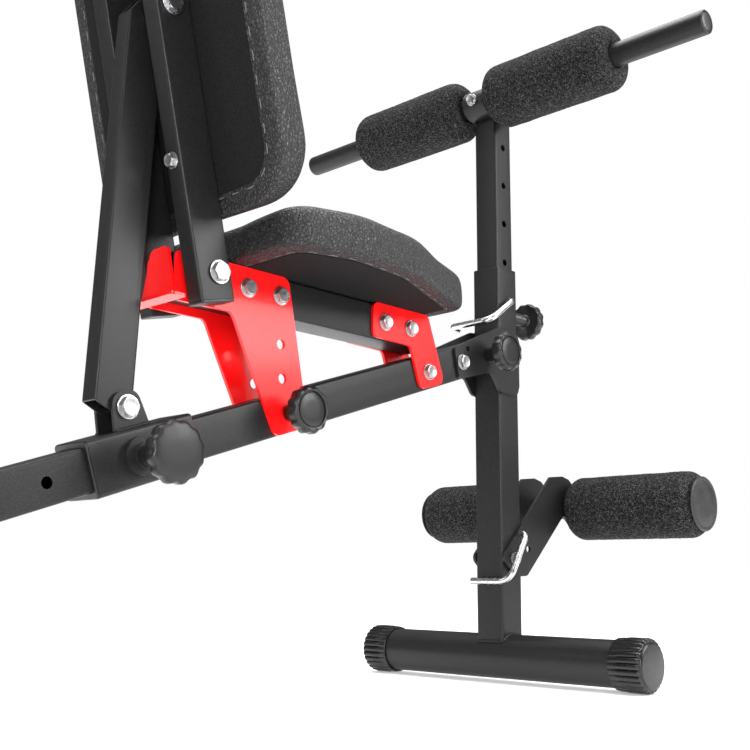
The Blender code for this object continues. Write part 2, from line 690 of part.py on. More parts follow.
# --- front post ---
def front_post():
    post = square_tube("front_post", (0, CAP_R), (0, POST_TOP), TUBE, TUBE, 0, BLACK_PAINT)
    cut(post, cylinder("post_cope", FOOT_R + GAP, at(0, -60, CAP_R), at(0, 60, CAP_R), 40))
    drill(post, *BRACKET_PIVOT, BOLT_HOLE)
    drill(post, *PIN_HOLE, 5.0)
    drill(post, 0, PIN_Z, 5.0)
    nut = cylinder("clamp_nut", 11.0, at(TUBE / 2 - 1, 0, CLAMP_Z), at(TUBE / 2 + 8, 0, CLAMP_Z))
    cut(post, nut, "UNION")
    cut(post, cylinder("post_clamp_hole", 6.0, at(10, 0, CLAMP_Z), at(40, 0, CLAMP_Z)))
    inside, opening = INNER_TUBE / 2 + 0.6, TUBE / 2 - WALL - 0.2
    ring = [
        (rectangle(2 * r, 2 * r, 1.6 if r < 21 else TUBE_CORNER), h)
        for r, h in ((inside, -12), (opening, -12), (opening, GAP), (TUBE / 2, GAP), (TUBE / 2, 3.5),
                     (inside, 3.5))
    ]
    collar = lofted("post_collar", ring, PLASTIC, facing(at(0, 0, POST_TOP), (0, 0, 1), (1, 0, 0)), True)
    pieces = [post, collar]
    gusset = rounded(
        [
            (-126.5, 447.5, 7), (-116.5, 404.5, 7), (-45.0, 424.5, 14), (-26.0, 399.0, 12),
            (15.0, 397.5, 10), (20.0, 412.0, 6), (20.0, 483.0, 8), (7.0, 493.0, 6), (-29.0, 491.5, 10),
        ]
    )
    holes = [circle(BOLT_HOLE, x=on_beam(FOLD_PIVOT)[0], y=on_beam(FOLD_PIVOT)[1])]
    holes.append(circle(PIN_HOLE_R, x=on_beam(FOLD_PIN)[0], y=on_beam(FOLD_PIN)[1]))
    holes.append(circle(4.0, x=-98.0, y=449.8))
    for side, sign in SIDES:
        place = across(0, sign * PLATE_Y, 0)
        pieces.append(extruded(f"post_gusset_{side}", [gusset, *holes], PLATE, BLACK_PAINT, place))
    pieces.append(side_bolt("fold_bolt", *on_beam(FOLD_PIVOT), PLATE_Y + PLATE / 2))
    return pieces + foot("front_foot", 0.0)


CLAMP_Z = 522.0


def upper_post():
    post = square_tube("inner_post", (0, INNER_BOTTOM), (0, INNER_TOP), INNER_TUBE, INNER_TUBE, 0,
                       BLACK_PAINT)
    x, z = UPPER_BAR
    half = INNER_TUBE / 2
    ring = cylinder("bar_ring", RING_R, at(x, -half, z), at(x, half, z), 20)
    cut(post, ring, "UNION")
    cut(post, cylinder("bar_bore", UPPER_BAR_R + GAP, at(x, -60, z), at(x, 60, z), 20))
    for k in range(5):
        drill(post, 0, PIN_Z + k * PIN_STEP, 5.0)
    cut(post, cylinder("ring_bolt_hole", 4.4, at(x - RING_R - 5, 0, z), at(x - 8, 0, z)))
    bar = round_tube("upper_bar", UPPER_BAR_R, UPPER_BAR_HALF, BLACK_PAINT, UPPER_BAR)
    cut(bar, cylinder("bar_bolt_hole", 4.4, at(x - RING_R - 5, 0, z), at(x - 8, 0, z)))
    pieces = [post, bar]
    rear = facing(at(x - RING_R - 0.3, 0, z), (-1, 0, 0), (0, 1, 0))
    pieces.append(bolt("upper_bar_bolt", rear, 10.0, shank=3.8, flats=13.0, washer=9.0, nut=False))
    return pieces


# --- lower roller bracket ---
def ankle_bracket():
    pieces = []
    x, z = BRACKET_PIVOT
    stow = Matrix.Rotation(-BRACKET_SWING, 2) @ Vector((PIN_HOLE[0] - x, PIN_HOLE[1] - z))
    plate = rounded(
        [
            (-28.0, 168.0, 9), (2.5, 142.0, 9), (30.0, 143.5, 9), (124.0, 232.0, 6), (142.0, 217.0, 10),
            (168.0, 228.0, 14), (170.0, 262.0, 12), (140.0, 285.5, 6), (123.0, 289.5, 4),
            (92.0, 286.5, 4),
        ]
    )
    holes = [circle(BOLT_HOLE, x=x, y=z), circle(5.0, x=PIN_HOLE[0], y=PIN_HOLE[1]),
             circle(5.0, x=x + stow.x, y=z + stow.y),
             circle(LOWER_BAR_R + GAP, 20, *LOWER_BAR)]
    mid = TUBE / 2 + 0.7 + PLATE / 2
    for side, sign in SIDES:
        place = across(0, sign * mid, 0)
        pieces.append(extruded(f"bracket_plate_{side}", [plate, *holes], PLATE, BLACK_PAINT, place))
    pieces.append(side_bolt("bracket_bolt", *BRACKET_PIVOT, mid + PLATE / 2, flats=13.0, washer=9.0))
    bar_end = DISC_FACE - 3.2
    pieces.append(round_tube("lower_bar", LOWER_BAR_R, bar_end, BLACK_PAINT, LOWER_BAR))
    x, z = LOWER_BAR
    for side, sign in SIDES:
        stem = circle(LOWER_BAR_R - WALL - GAP, 20)
        rings = [(stem, bar_end - 14), (stem, bar_end + GAP), (circle(DISC_R, 20), bar_end + GAP),
                 (circle(DISC_R, 20), DISC_FACE - 1), (circle(DISC_R - 1.2, 20), DISC_FACE)]
        place = facing(at(x, 0, z), (0, sign, 0), (1, 0, 0))
        pieces.append(lofted(f"roller_disc_{side}", rings, PLASTIC, place))
    return pieces


# --- lock pins and knobs ---
def post_height_pin():
    """The tip stops in the outer post's wall, and the second leg lies behind the post."""
    near = -33.0
    return wire_pin(
        "post_height_pin",
        bent([(0, -TUBE / 2 + WALL - 0.6, PIN_Z), (0, near, PIN_Z), (-54, near, 498), (-54, 38, 497.5),
              (-42, 34, 494.5)], (9, 14, 7)), 4.6,
    )


def bracket_lock_pin():
    """The tip stops at the bracket plate's face, and the second leg lies behind the post."""
    near = -39.5
    face = -(TUBE / 2 + 0.7 + PLATE) - 0.4
    return wire_pin(
        "bracket_lock_pin",
        bent([(PIN_HOLE[0], face, PIN_HOLE[1]), (PIN_HOLE[0], near, PIN_HOLE[1]),
              (-29, near, 136), (-29, 25, 136)], (9, 18)), 4.6,
    )


def knobs():
    surface = -(PLATE_Y + PLATE / 2)
    x, z = on_beam(SLEEVE_PIN)
    slider = knob("slider_knob", across(x, -SLEEVE / 2 - 13.3, z), 32.0, 55.0, 17.0, 17.5, 11.0, 37.0)
    x, z = on_beam(SEAT_PIN)
    seat = knob("seat_knob", across(x, surface - GAP, z), 27.5, 41.0, 15.0, 3.6, 10.0, 25.0)
    x, z = on_beam(FOLD_PIN)
    fold = knob("fold_knob", across(x, surface - GAP, z), 27.5, 41.0, 15.0, 3.6, 10.0, 25.0)
    place = facing(at(TUBE / 2 + 8.3, 0, CLAMP_Z), (1, 0, 0), (0, 1, 0))
    clamp = knob("post_clamp_knob", place, 28.0, 56.0, 15.0, 11.0, 9.0, 40.0)
    return slider, seat, fold, clamp


def main():
    for obj in list(bpy.data.objects):
        bpy.data.objects.remove(obj)
    for collection in (COLLECTION, CUTTERS):
        bpy.context.scene.collection.children.link(collection)
    slider_knob, seat_knob, fold_knob, clamp_knob = knobs()
    base = [main_beam(), *foot("rear_foot", REAR_FOOT_X), *seat_frame(), *seat_pad(), *seat_bolts()]
    body("base", (0, 0, 0), base)
    body("seat_lock", (on_beam(SEAT_PIN)[0], 0, on_beam(SEAT_PIN)[1]), [seat_knob])
    body("backrest", (BACK_PIVOT[0], 0, BACK_PIVOT[1]), backrest())
    ear = on_beam(EAR_S, EAR_OFF)
    body("slider", (ear[0], 0, ear[1]), sleeve())
    body("slider_lock", (on_beam(SLEEVE_PIN)[0], 0, on_beam(SLEEVE_PIN)[1]), [slider_knob])
    body("prop", (ear[0], 0, ear[1]), [strut()])
    fold = on_beam(FOLD_PIVOT)
    body("post", (fold[0], 0, fold[1]), front_post())
    body("fold_lock", (on_beam(FOLD_PIN)[0], 0, on_beam(FOLD_PIN)[1]), [fold_knob])
    body("post_clamp", (0, 0, CLAMP_Z), [clamp_knob])
    body("height_pin", (0, 0, PIN_Z), [post_height_pin()])
    body("bracket_pin", (PIN_HOLE[0], 0, PIN_HOLE[1]), [bracket_lock_pin()])
    body("upper_mast", (0, 0, PIN_Z), upper_post())
    body("bracket", (BRACKET_PIVOT[0], 0, BRACKET_PIVOT[1]), ankle_bracket())
    for level, place, span, bar in (
        ("upper", UPPER_BAR, UPPER_FOAM, UPPER_BAR_R), ("lower", LOWER_BAR, LOWER_FOAM, LOWER_BAR_R)
    ):
        for side, sign in SIDES:
            roller = foam_roller(f"{level}_roller_{side}", place, sign, span, bar + 0.6)
            body(f"{level}_{side}", (place[0], 0, place[1]), [roller])


main()
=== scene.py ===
"""The looks of the decline sit up bench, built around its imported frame.

Frame: +X forward to the roller post, +Y left, +Z up, in metres. Side-view places are (x, z) pairs in
millimetres, measured forward from the post's centre line, and POST_X shifts them to the frame's origin.
"""

import json
from math import cos, dist, exp, pi, radians, sin, sqrt, tan

import bmesh
import bpy
import numpy as np
from mathutils import Matrix, Vector, noise


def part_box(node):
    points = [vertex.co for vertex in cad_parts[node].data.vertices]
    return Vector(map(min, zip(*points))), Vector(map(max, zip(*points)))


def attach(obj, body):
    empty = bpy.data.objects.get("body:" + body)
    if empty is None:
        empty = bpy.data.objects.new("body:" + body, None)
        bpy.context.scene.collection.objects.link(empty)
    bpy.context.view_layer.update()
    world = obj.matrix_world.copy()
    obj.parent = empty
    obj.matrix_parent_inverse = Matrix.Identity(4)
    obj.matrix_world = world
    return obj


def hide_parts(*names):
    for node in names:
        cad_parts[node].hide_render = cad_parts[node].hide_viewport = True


MM = 0.001
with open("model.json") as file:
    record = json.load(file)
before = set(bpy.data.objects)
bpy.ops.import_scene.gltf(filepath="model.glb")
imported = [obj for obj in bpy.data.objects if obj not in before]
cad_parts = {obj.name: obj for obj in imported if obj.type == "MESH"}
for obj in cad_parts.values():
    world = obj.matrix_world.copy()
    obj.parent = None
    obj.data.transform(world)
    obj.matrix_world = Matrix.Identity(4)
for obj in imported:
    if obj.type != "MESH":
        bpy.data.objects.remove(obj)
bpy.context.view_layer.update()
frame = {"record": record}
BODY_OF = {n: body for body, nodes in frame["record"]["behaviour"]["bodies"].items() for n in nodes}
POST_X = (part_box("front_foot_tube")[0].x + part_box("front_foot_tube")[1].x) / 2 / MM
SLOPE = radians(18.51)
LEAN = radians(13.3)
BEAM_Z = 466.0
FOOT_Z = 34.2
SEAT_Z = 457.8
BACK_PIVOT = (-552.3, 457.0)
SIDES = (("left", 1), ("right", -1))
PLATE_Y = 24.8
REAR_X = -1290.0
POST_TOP = 582.0
PIN_Z = 536.0
CLAMP_Z = 522.0
HEX_POINTS = 48
UPPER_BAR = (-27.0, 839.0)
LOWER_BAR = (147.0, 241.6)
BRACKET_Z = 167.0
BRACKET_PIN = (12.5, 201.5)
# places along the beam: the fold bolt and its knob, the seat's pivot and its knob, and the sleeve's knob
FOLD_AT, FOLD_KNOB_AT, SEAT_AT, SEAT_KNOB_AT, SLEEVE_KNOB_AT = -116.0, -57.0, -190.0, -447.6, -655.3
# places along the back rails, each with its depth: the strut's bolt, and the pad's bolts
STRUT_BOLT = (288.0, -2.0)
PAD_BOLTS = (121.4, 400.0)


def on_beam(s, off=0.0):
    """The (x, z) at s along the main beam, and off above its centre line."""
    c, n = cos(SLOPE), sin(SLOPE)
    return s * c - off * n, BEAM_Z + s * n + off * c


def on_rail(along, depth=0.0):
    """The (x, z) at a distance up the back rails from their pivot, and depth towards the pad."""
    c, n = cos(LEAN), sin(LEAN)
    depth -= 5.7
    return BACK_PIVOT[0] - along * n + depth * c, BACK_PIVOT[1] + along * c + depth * n


def at(x, y, z):
    return Vector(((POST_X + x) * MM, y * MM, z * MM))


# --- materials ---
def new_material(name, color, roughness, metallic=0.0, **sockets):
    mat = bpy.data.materials.new(name)
    mat.use_nodes = True
    shader = mat.node_tree.nodes["Principled BSDF"]
    shader.inputs["Base Color"].default_value = (*color, 1)
    shader.inputs["Roughness"].default_value = roughness
    shader.inputs["Metallic"].default_value = metallic
    for key, value in sockets.items():
        shader.inputs[key.replace("_", " ")].default_value = value
    return mat


def texture(mat, kind, scale, **settings):
    """A procedural texture over object space."""
    tree = mat.node_tree
    place = tree.nodes.get("place")
    if place is None:
        place = tree.nodes.new("ShaderNodeTexCoord")
        place.name = "place"
    node = tree.nodes.new("ShaderNodeTex" + kind)
    node.inputs["Scale"].default_value = scale
    for key, value in settings.items():
        if key == "feature":
            node.feature = value
        else:
            node.inputs[key].default_value = value
    tree.links.new(place.outputs["Object"], node.inputs["Vector"])
    return node


def grain(mat, scale, detail, **settings):
    return texture(mat, "Noise", scale, Detail=detail, **settings).outputs["Fac"]


def pits(mat, scale):
    return texture(mat, "Voronoi", scale, feature="F1").outputs["Distance"]


def ramp(mat, source, low, high, start=0.0, end=1.0):
    """A texture's value spread between two colours or two numbers."""
    node = mat.node_tree.nodes.new("ShaderNodeValToRGB")
    for stop, value, position in zip(node.color_ramp.elements, (low, high), (start, end)):
        stop.color = (*value, 1) if hasattr(value, "__len__") else (value, value, value, 1)
        stop.position = position
    mat.node_tree.links.new(source, node.inputs["Fac"])
    return node.outputs["Color"]


def drive(mat, source, socket):
    mat.node_tree.links.new(source, mat.node_tree.nodes["Principled BSDF"].inputs[socket])


def bump(mat, *layers):
    """Stacks bumps, each (height, strength, distance in mm)."""
    tree, normal = mat.node_tree, None
    for height, strength, distance in layers:
        node = tree.nodes.new("ShaderNodeBump")
        node.inputs["Strength"].default_value = strength
        node.inputs["Distance"].default_value = distance * MM
        tree.links.new(height, node.inputs["Height"])
        if normal:
            tree.links.new(normal, node.inputs["Normal"])
        normal = node.outputs["Normal"]
    drive(mat, normal, "Normal")


def powder_coat(name, dark, light, roughness, level=0.3, coat=0.0):
    """Fine orange peel over faint clouding, with a speck of lighter powder here and there."""
    mat = new_material(name, dark, roughness, Coat_Weight=coat, Coat_Roughness=0.1, Specular_IOR_Level=level)
    powder = grain(mat, 900.0, 3.0, Roughness=0.6)
    tint = ramp(mat, grain(mat, 9.0, 4.0), dark, [c * 1.2 for c in dark], 0.3, 0.75)
    speck = ramp(mat, powder, 0.0, 1.0, 0.44, 0.74)
    spotted = mat.node_tree.nodes.new("ShaderNodeMix")
    spotted.data_type = "RGBA"
    mat.node_tree.links.new(speck, spotted.inputs["Factor"])
    mat.node_tree.links.new(tint, spotted.inputs[6])
    spotted.inputs[7].default_value = (*light, 1)
    drive(mat, spotted.outputs[2], "Base Color")
    drive(mat, ramp(mat, powder, roughness - 0.08, roughness + 0.12, 0.3, 0.7), "Roughness")
    bump(mat, (grain(mat, 330.0, 3.0), 0.25, 0.2), (powder, 0.35, 0.1))
    return mat


def leather(name):
    """Pebbled vinyl: small drawn-out grains with creases between, painted darker as painted shade, over slow
    swells.
    """
    mat = new_material(name, (0.03, 0.03, 0.031), 0.5, Specular_IOR_Level=0.42)
    nodes, links = mat.node_tree.nodes, mat.node_tree.links
    pebble = texture(mat, "Voronoi", 330.0, feature="SMOOTH_F1", Smoothness=0.3)
    crease = texture(mat, "Voronoi", 330.0, feature="DISTANCE_TO_EDGE")
    warp = texture(mat, "Noise", 120.0, Detail=3.0)
    stretch = nodes.new("ShaderNodeVectorMath")
    stretch.operation = "MULTIPLY"
    stretch.inputs[1].default_value = (1.0, 0.62, 0.8)
    links.new(nodes["place"].outputs["Object"], stretch.inputs[0])
    shift = nodes.new("ShaderNodeVectorMath")
    shift.operation = "MULTIPLY_ADD"
    shift.inputs[1].default_value = (0.005, 0.005, 0.005)
    links.new(warp.outputs["Color"], shift.inputs[0])
    links.new(stretch.outputs[0], shift.inputs[2])
    for node in (pebble, crease):
        links.new(shift.outputs[0], node.inputs["Vector"])
    gap = crease.outputs["Distance"]
    # painted shade: the base colour darkens into the creases, where the bump also dips
    drive(mat, ramp(mat, gap, (0.003, 0.003, 0.0032), (0.042, 0.042, 0.0435), 0.03, 0.3), "Base Color")
    drive(mat, ramp(mat, pebble.outputs["Distance"], 0.4, 0.66, 0.1, 0.7), "Roughness")
    bump(mat, (grain(mat, 26.0, 2.0), 0.25, 1.2), (ramp(mat, gap, 0.0, 1.0, 0.0, 0.34), 1.0, 0.8),
         (grain(mat, 1700.0, 1.0), 0.2, 0.06))
    return mat


def foam(name):
    """Skinned foam with torn cells: coarse pits painted darker, as painted shade, among pale specks."""
    mat = new_material(name, (0.02, 0.02, 0.021), 0.95, Specular_IOR_Level=0.2)
    fine = grain(mat, 520.0, 5.0, Roughness=0.72)
    patch = grain(mat, 210.0, 4.0, Roughness=0.7)
    specks = ramp(mat, fine, (0.003, 0.003, 0.0032), (0.15, 0.15, 0.155), 0.46, 0.72)
    shade = mat.node_tree.nodes.new("ShaderNodeMix")
    shade.data_type, shade.blend_type = "RGBA", "MULTIPLY"
    shade.inputs["Factor"].default_value = 1.0
    mat.node_tree.links.new(specks, shade.inputs[6])
    # painted shade: the colour is multiplied darker where the patch noise, which also sets the bump, dips
    mat.node_tree.links.new(ramp(mat, patch, 0.25, 1.0, 0.38, 0.62), shade.inputs[7])
    drive(mat, shade.outputs[2], "Base Color")
    bump(mat, (patch, 0.8, 1.6), (pits(mat, 420.0), 0.9, 1.0), (fine, 0.8, 0.9))
    return mat


def plastic(name, color, roughness):
    """Moulded plastic with a fine spark-eroded grain and faint flow marks."""
    mat = new_material(name, color, roughness, Specular_IOR_Level=0.4)
    flow = grain(mat, 40.0, 3.0)
    drive(mat, ramp(mat, flow, color, [c * 1.35 for c in color], 0.35, 0.7), "Base Color")
    drive(mat, ramp(mat, flow, roughness - 0.05, roughness + 0.08, 0.3, 0.7), "Roughness")
    bump(mat, (grain(mat, 1500.0, 2.0), 0.4, 0.07))
    return mat


def plated(name, color, roughness):
    """Plated steel with a very fine grain and small dull patches."""
    mat = new_material(name, color, roughness, 1.0)
    patch = grain(mat, 130.0, 5.0)
    drive(mat, ramp(mat, patch, [c * 0.8 for c in color], color, 0.35, 0.65), "Base Color")
    drive(mat, ramp(mat, patch, roughness + 0.12, roughness, 0.35, 0.6), "Roughness")
    bump(mat, (grain(mat, 2600.0, 1.0), 0.12, 0.02))
    return mat


def cloth_backing(name):
    """Close non-woven cloth with a short fibre, lying a little slack."""
    mat = new_material(name, (0.006, 0.006, 0.0065), 0.9, Specular_IOR_Level=0.18)
    fibre = grain(mat, 800.0, 4.0, Roughness=0.7)
    drive(mat, ramp(mat, fibre, (0.003, 0.003, 0.0033), (0.014, 0.014, 0.0145), 0.38, 0.68), "Base Color")
    bump(mat, (grain(mat, 14.0, 2.0), 0.3, 1.5), (pits(mat, 700.0), 0.5, 0.2), (fibre, 0.6, 0.2))
    return mat


def stitching(name):
    """Grey thread with a fine twist."""
    mat = new_material(name, (0.13, 0.13, 0.135), 0.7)
    twist = grain(mat, 1800.0, 2.0)
    drive(mat, ramp(mat, twist, (0.07, 0.07, 0.072), (0.2, 0.2, 0.205), 0.3, 0.7), "Base Color")
    bump(mat, (twist, 0.7, 0.15))
    return mat


BLACK = powder_coat("black_powder_coat", (0.006, 0.006, 0.0064), (0.026, 0.026, 0.027), 0.38)
RED = powder_coat("red_powder_coat", (0.84, 0.002, 0.003), (0.9, 0.012, 0.012), 0.34, 0.35, 0.2)
STEEL = plated("zinc_steel", (0.5, 0.5, 0.51), 0.26)
PIN_STEEL = plated("bright_wire", (0.62, 0.61, 0.6), 0.2)
PLASTIC = plastic("black_plastic", (0.007, 0.007, 0.0075), 0.36)
DISC = plastic("black_disc_plastic", (0.014, 0.014, 0.0145), 0.46)
CAP = plastic("foot_cap_plastic", (0.006, 0.006, 0.0065), 0.27)
FOAM = foam("black_foam")
VINYL = leather("black_vinyl")
BACKING = cloth_backing("black_backing")
THREAD = stitching("grey_thread")
WELD = powder_coat("painted_weld", (0.006, 0.006, 0.0064), (0.024, 0.024, 0.025), 0.36)


# --- shapes ---
def facing(origin, z_axis, x_axis):
    z, x = Vector(z_axis).normalized(), Vector(x_axis).normalized()
    return Matrix.Translation(origin) @ Matrix((x, z.cross(x), z)).transposed().to_4x4()


def across(x, y, z, sign=-1):
    """A frame that looks to the right, or with sign 1 to the left, with its first axis forward."""
    return facing(at(x, y, z), (0, sign, 0), (1, 0, 0))


def rounded(corners, steps=9):
    """An outline from (x, y, radius) corners."""
    points = []
    for i, (x, y, radius) in enumerate(corners):
        here = Vector((x, y))
        back = (Vector(corners[i - 1][:2]) - here).normalized()
        ahead = (Vector(corners[(i + 1) % len(corners)][:2]) - here).normalized()
        if radius == 0:
            points.append(here)
            continue
        half = back.angle(ahead) / 2
        middle = here + (back + ahead).normalized() * radius / sin(half)
        first = here + back * radius / tan(half) - middle
        turn = (here + ahead * radius / tan(half) - middle).angle_signed(first)
        for step in range(steps + 1):
            points.append(middle + Matrix.Rotation(turn * step / steps, 2) @ first)
    return [(p.x, p.y) for p in points]


def circle(radius, count=40, x=0.0, y=0.0):
    return [
        (x + radius * cos(2 * pi * i / count), y + radius * sin(2 * pi * i / count))
        for i in range(count)
    ]


def rectangle(width, height, radius=3.0, steps=6):
    w, h = width / 2, height / 2
    return rounded([(-w, -h, radius), (w, -h, radius), (w, h, radius), (-w, h, radius)], steps)


def turned(profile, count=HEX_POINTS):
    """Rings for a loft from (radius, height) pairs."""
    return [(circle(r, count), h) for r, h in profile]


def squared(profile):
    """Rings for a loft from (width, depth, corner radius, height) rows."""
    return [(rectangle(w, d, r), h) for w, d, r, h in profile]


def clean(mesh):
    made = bmesh.new()
    made.from_mesh(mesh)
    bmesh.ops.remove_doubles(made, verts=made.verts, dist=2e-6)
    bmesh.ops.dissolve_degenerate(made, edges=made.edges, dist=1e-6)
    bmesh.ops.recalc_face_normals(made, faces=made.faces)
    made.to_mesh(mesh)
    made.free()


def finished(made, name):
    """The bmesh as a mesh with its faces turned outward."""
    bmesh.ops.recalc_face_normals(made, faces=made.faces)
    mesh = bpy.data.meshes.new(name)
    made.to_mesh(mesh)
    made.free()
    return mesh


def joined(made, loops, closed=False):
    """Faces between each loop of points and the next, with end caps or closed into a ring."""
    for low, high in list(zip(loops, loops[1:])) + ([(loops[-1], loops[0])] if closed else []):
        for i in range(len(low)):
            j = (i + 1) % len(low)
            made.faces.new((low[i], low[j], high[j], high[i]))
    if not closed:
        made.faces.new(loops[0])
        made.faces.new(loops[-1])


def linked(name, data):
    obj = bpy.data.objects.new(name, data)
    bpy.context.scene.collection.objects.link(obj)
    return obj


def new_object(name, mesh, kind, matrix=Matrix.Identity(4)):
    mesh.materials.clear()
    mesh.materials.append(kind)
    obj = linked(name, mesh)
    obj.matrix_world = matrix
    bpy.context.view_layer.update()
    return obj


def evaluated_mesh(obj):
    bpy.context.view_layer.update()
    return bpy.data.meshes.new_from_object(obj.evaluated_get(bpy.context.evaluated_depsgraph_get()))


def drawn(name, curve):
    """The closed mesh that a curve makes."""
    guide = linked(name + "_guide", curve)
    mesh = evaluated_mesh(guide)
    bpy.data.objects.remove(guide)
    clean(mesh)
    return mesh


def extruded(name, outlines, thickness, kind, matrix):
    curve = bpy.data.curves.new(name, "CURVE")
    curve.dimensions, curve.fill_mode, curve.extrude = "2D", "BOTH", thickness / 2 * MM
    for outline in outlines:
        spline = curve.splines.new("POLY")
        spline.points.add(len(outline) - 1)
        for point, (x, y) in zip(spline.points, outline):
            point.co = (x * MM, y * MM, 0, 1)
        spline.use_cyclic_u = True
    return new_object(name, drawn(name, curve), kind, matrix)


def lofted(name, rings, kind, matrix, hollow=False):
    made = bmesh.new()
    loops = [[made.verts.new((x * MM, y * MM, h * MM)) for x, y in ring] for ring, h in rings]
    joined(made, loops, hollow)
    return new_object(name, finished(made, name), kind, matrix)


def square_tube(name, start, end, width, depth, y, kind, wall=2.0, corner=3.0):
    run = Vector((end[0] - start[0], 0, end[1] - start[1]))
    middle = at((start[0] + end[0]) / 2, y, (start[1] + end[1]) / 2)
    inner = rectangle(width - 2 * wall, depth - 2 * wall, corner - wall, 3)
    outer = rectangle(width, depth, corner)
    return extruded(name, [outer, inner], run.length, kind, facing(middle, run, (0, 1, 0)))


def cylinder(name, radius, start, end, count=40):
    made = bmesh.new()
    bmesh.ops.create_cone(made, cap_ends=True, segments=count, radius1=radius * MM,
                          radius2=radius * MM, depth=(end - start).length)
    mesh = bpy.data.meshes.new(name)
    made.to_mesh(mesh)
    made.free()
    return new_object(name, mesh, BLACK, facing((start + end) / 2, end - start, (end - start).orthogonal()))


def cut(target, cutter, operation="DIFFERENCE"):
    """Applies one Boolean and drops its cutter."""
    modifier = target.modifiers.new("cut", "BOOLEAN")
    modifier.operation, modifier.object, modifier.solver = operation, cutter, "EXACT"
    mesh = evaluated_mesh(target)
    target.modifiers.clear()
    target.data = mesh
    kinds = [m for m in mesh.materials if m]
    mesh.materials.clear()
    mesh.materials.append(kinds[0])
    for polygon in mesh.polygons:
        polygon.material_index = 0
    bpy.data.objects.remove(cutter)
    return target


def drill(target, x, z, radius, low=-80.0, high=80.0):
    cut(target, cylinder("drill", radius, at(x, low, z), at(x, high, z)))


def eased(obj, width=0.45, segments=2, angle=32):
    """Rounds the piece's sharp edges and shades it smooth."""
    clean(obj.data)
    bevel = obj.modifiers.new("ease", "BEVEL")
    bevel.width, bevel.segments, bevel.limit_method = width * MM, segments, "ANGLE"
    bevel.angle_limit, bevel.harden_normals = radians(angle), True
    bevel.use_clamp_overlap = True
    obj.data.shade_smooth()
    mesh = evaluated_mesh(obj)
    obj.modifiers.clear()
    obj.data = mesh
    return obj


def smooth(obj, angle=40):
    obj.data.shade_smooth()
    obj.data.set_sharp_from_angle(angle=radians(angle))
    return obj


def show(obj, *nodes, body=None):
    """The piece stands for these CAD nodes, or is an extra that rides on a body."""
    if nodes:
        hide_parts(*nodes)
    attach(obj, body or BODY_OF[nodes[0]])
    return obj


BEAD_STEP, WIRE_RADIUS = 0.7, 4.6


def weld(name, points, radius, body, closed=False):
    """A rippled weld bead along a path of frame points in millimetres."""
    path = [Vector(p) for p in points]
    spaced = []
    for a, b in zip(path, path[1:] + ([path[0]] if closed else [])):
        count = max(1, round((b - a).length / BEAD_STEP))
        spaced += [a.lerp(b, i / count) for i in range(count)]
    if not closed:
        spaced.append(path[-1])
    made, loops = bmesh.new(), []
    for i, p in enumerate(spaced):
        ahead = spaced[(i + 1) % len(spaced)] if closed or i + 1 < len(spaced) else p
        behind = spaced[i - 1] if closed or i else p
        run = (ahead - behind).normalized()
        side = (run.orthogonal() if abs(run.z) > 0.9 else run.cross(Vector((0, 0, 1)))).normalized()
        up = run.cross(side)
        r = radius * (0.82 + 0.18 * abs(sin(i * 0.9))) * (0.95 + 0.1 * noise.noise(p * 0.15))
        if not closed:
            r *= min(1.0, 0.35 + 0.3 * min(i, len(spaced) - 1 - i))
        loops.append([made.verts.new(at(*(p + side * x + up * y))) for x, y in circle(r, 8)])
    joined(made, loops, closed)
    return show(smooth(new_object(name, finished(made, name), WELD), 80), body=body)


# --- fasteners ---
def hexagon(flats, limit=99.0):
    points = []
    for i in range(HEX_POINTS):
        t = 2 * pi * i / HEX_POINTS
        part = (t % (pi / 3)) - pi / 6
        r = min(flats / 2 / cos(part), limit)
        points.append((r * cos(t), r * sin(t)))
    return points


def bolt(name, matrix, grip, shank=4.8, flats=16.0, washer=11.0, nut=True):
    """A chamfered hex head and a turned washer, and at the far end a nut on a threaded tip."""
    corner, top = flats / sqrt(3), 7.2

    def head(base, tip, sign):
        return [
            (hexagon(flats), base + sign * 0.05), (hexagon(flats), tip - sign * 1.25),
            (hexagon(flats, corner * 0.955), tip - sign * 0.75),
            (hexagon(flats, corner * 0.9), tip - sign * 0.3), (circle(flats * 0.455, HEX_POINTS), tip),
        ]

    rings = turned(((flats * 0.3, top - 0.35), (flats * 0.42, top - 0.1)))
    rings += reversed(head(1.9, top, 1))
    rings += turned(((washer - 0.4, 1.9), (washer - 0.1, 1.7), (washer, 1.4), (washer, 0.5),
                     (washer - 0.3, 0.3), (shank, 0.3)))
    if nut:
        low, end = -grip - 0.3, -grip - 9.0
        rings += turned(((shank, low), (washer - 0.3, low), (washer, low - 0.3), (washer, low - 1.3),
                         (washer - 0.4, low - 1.6)))
        rings += head(low - 1.6, end, -1)
        for thread in range(6):
            z = end - 0.6 * thread
            rings += turned(((shank, z - 0.2), (shank - 0.45, z - 0.5)))
        rings += turned(((shank - 1.2, end - 4.0),))
    else:
        rings += turned(((shank, -grip),))
    return show(smooth(lofted(name + "_look", rings, STEEL, matrix), 28), name)


def side_bolt(name, x, z, half, **shape):
    return bolt(name, across(x, -half, z), 2 * half, **shape)


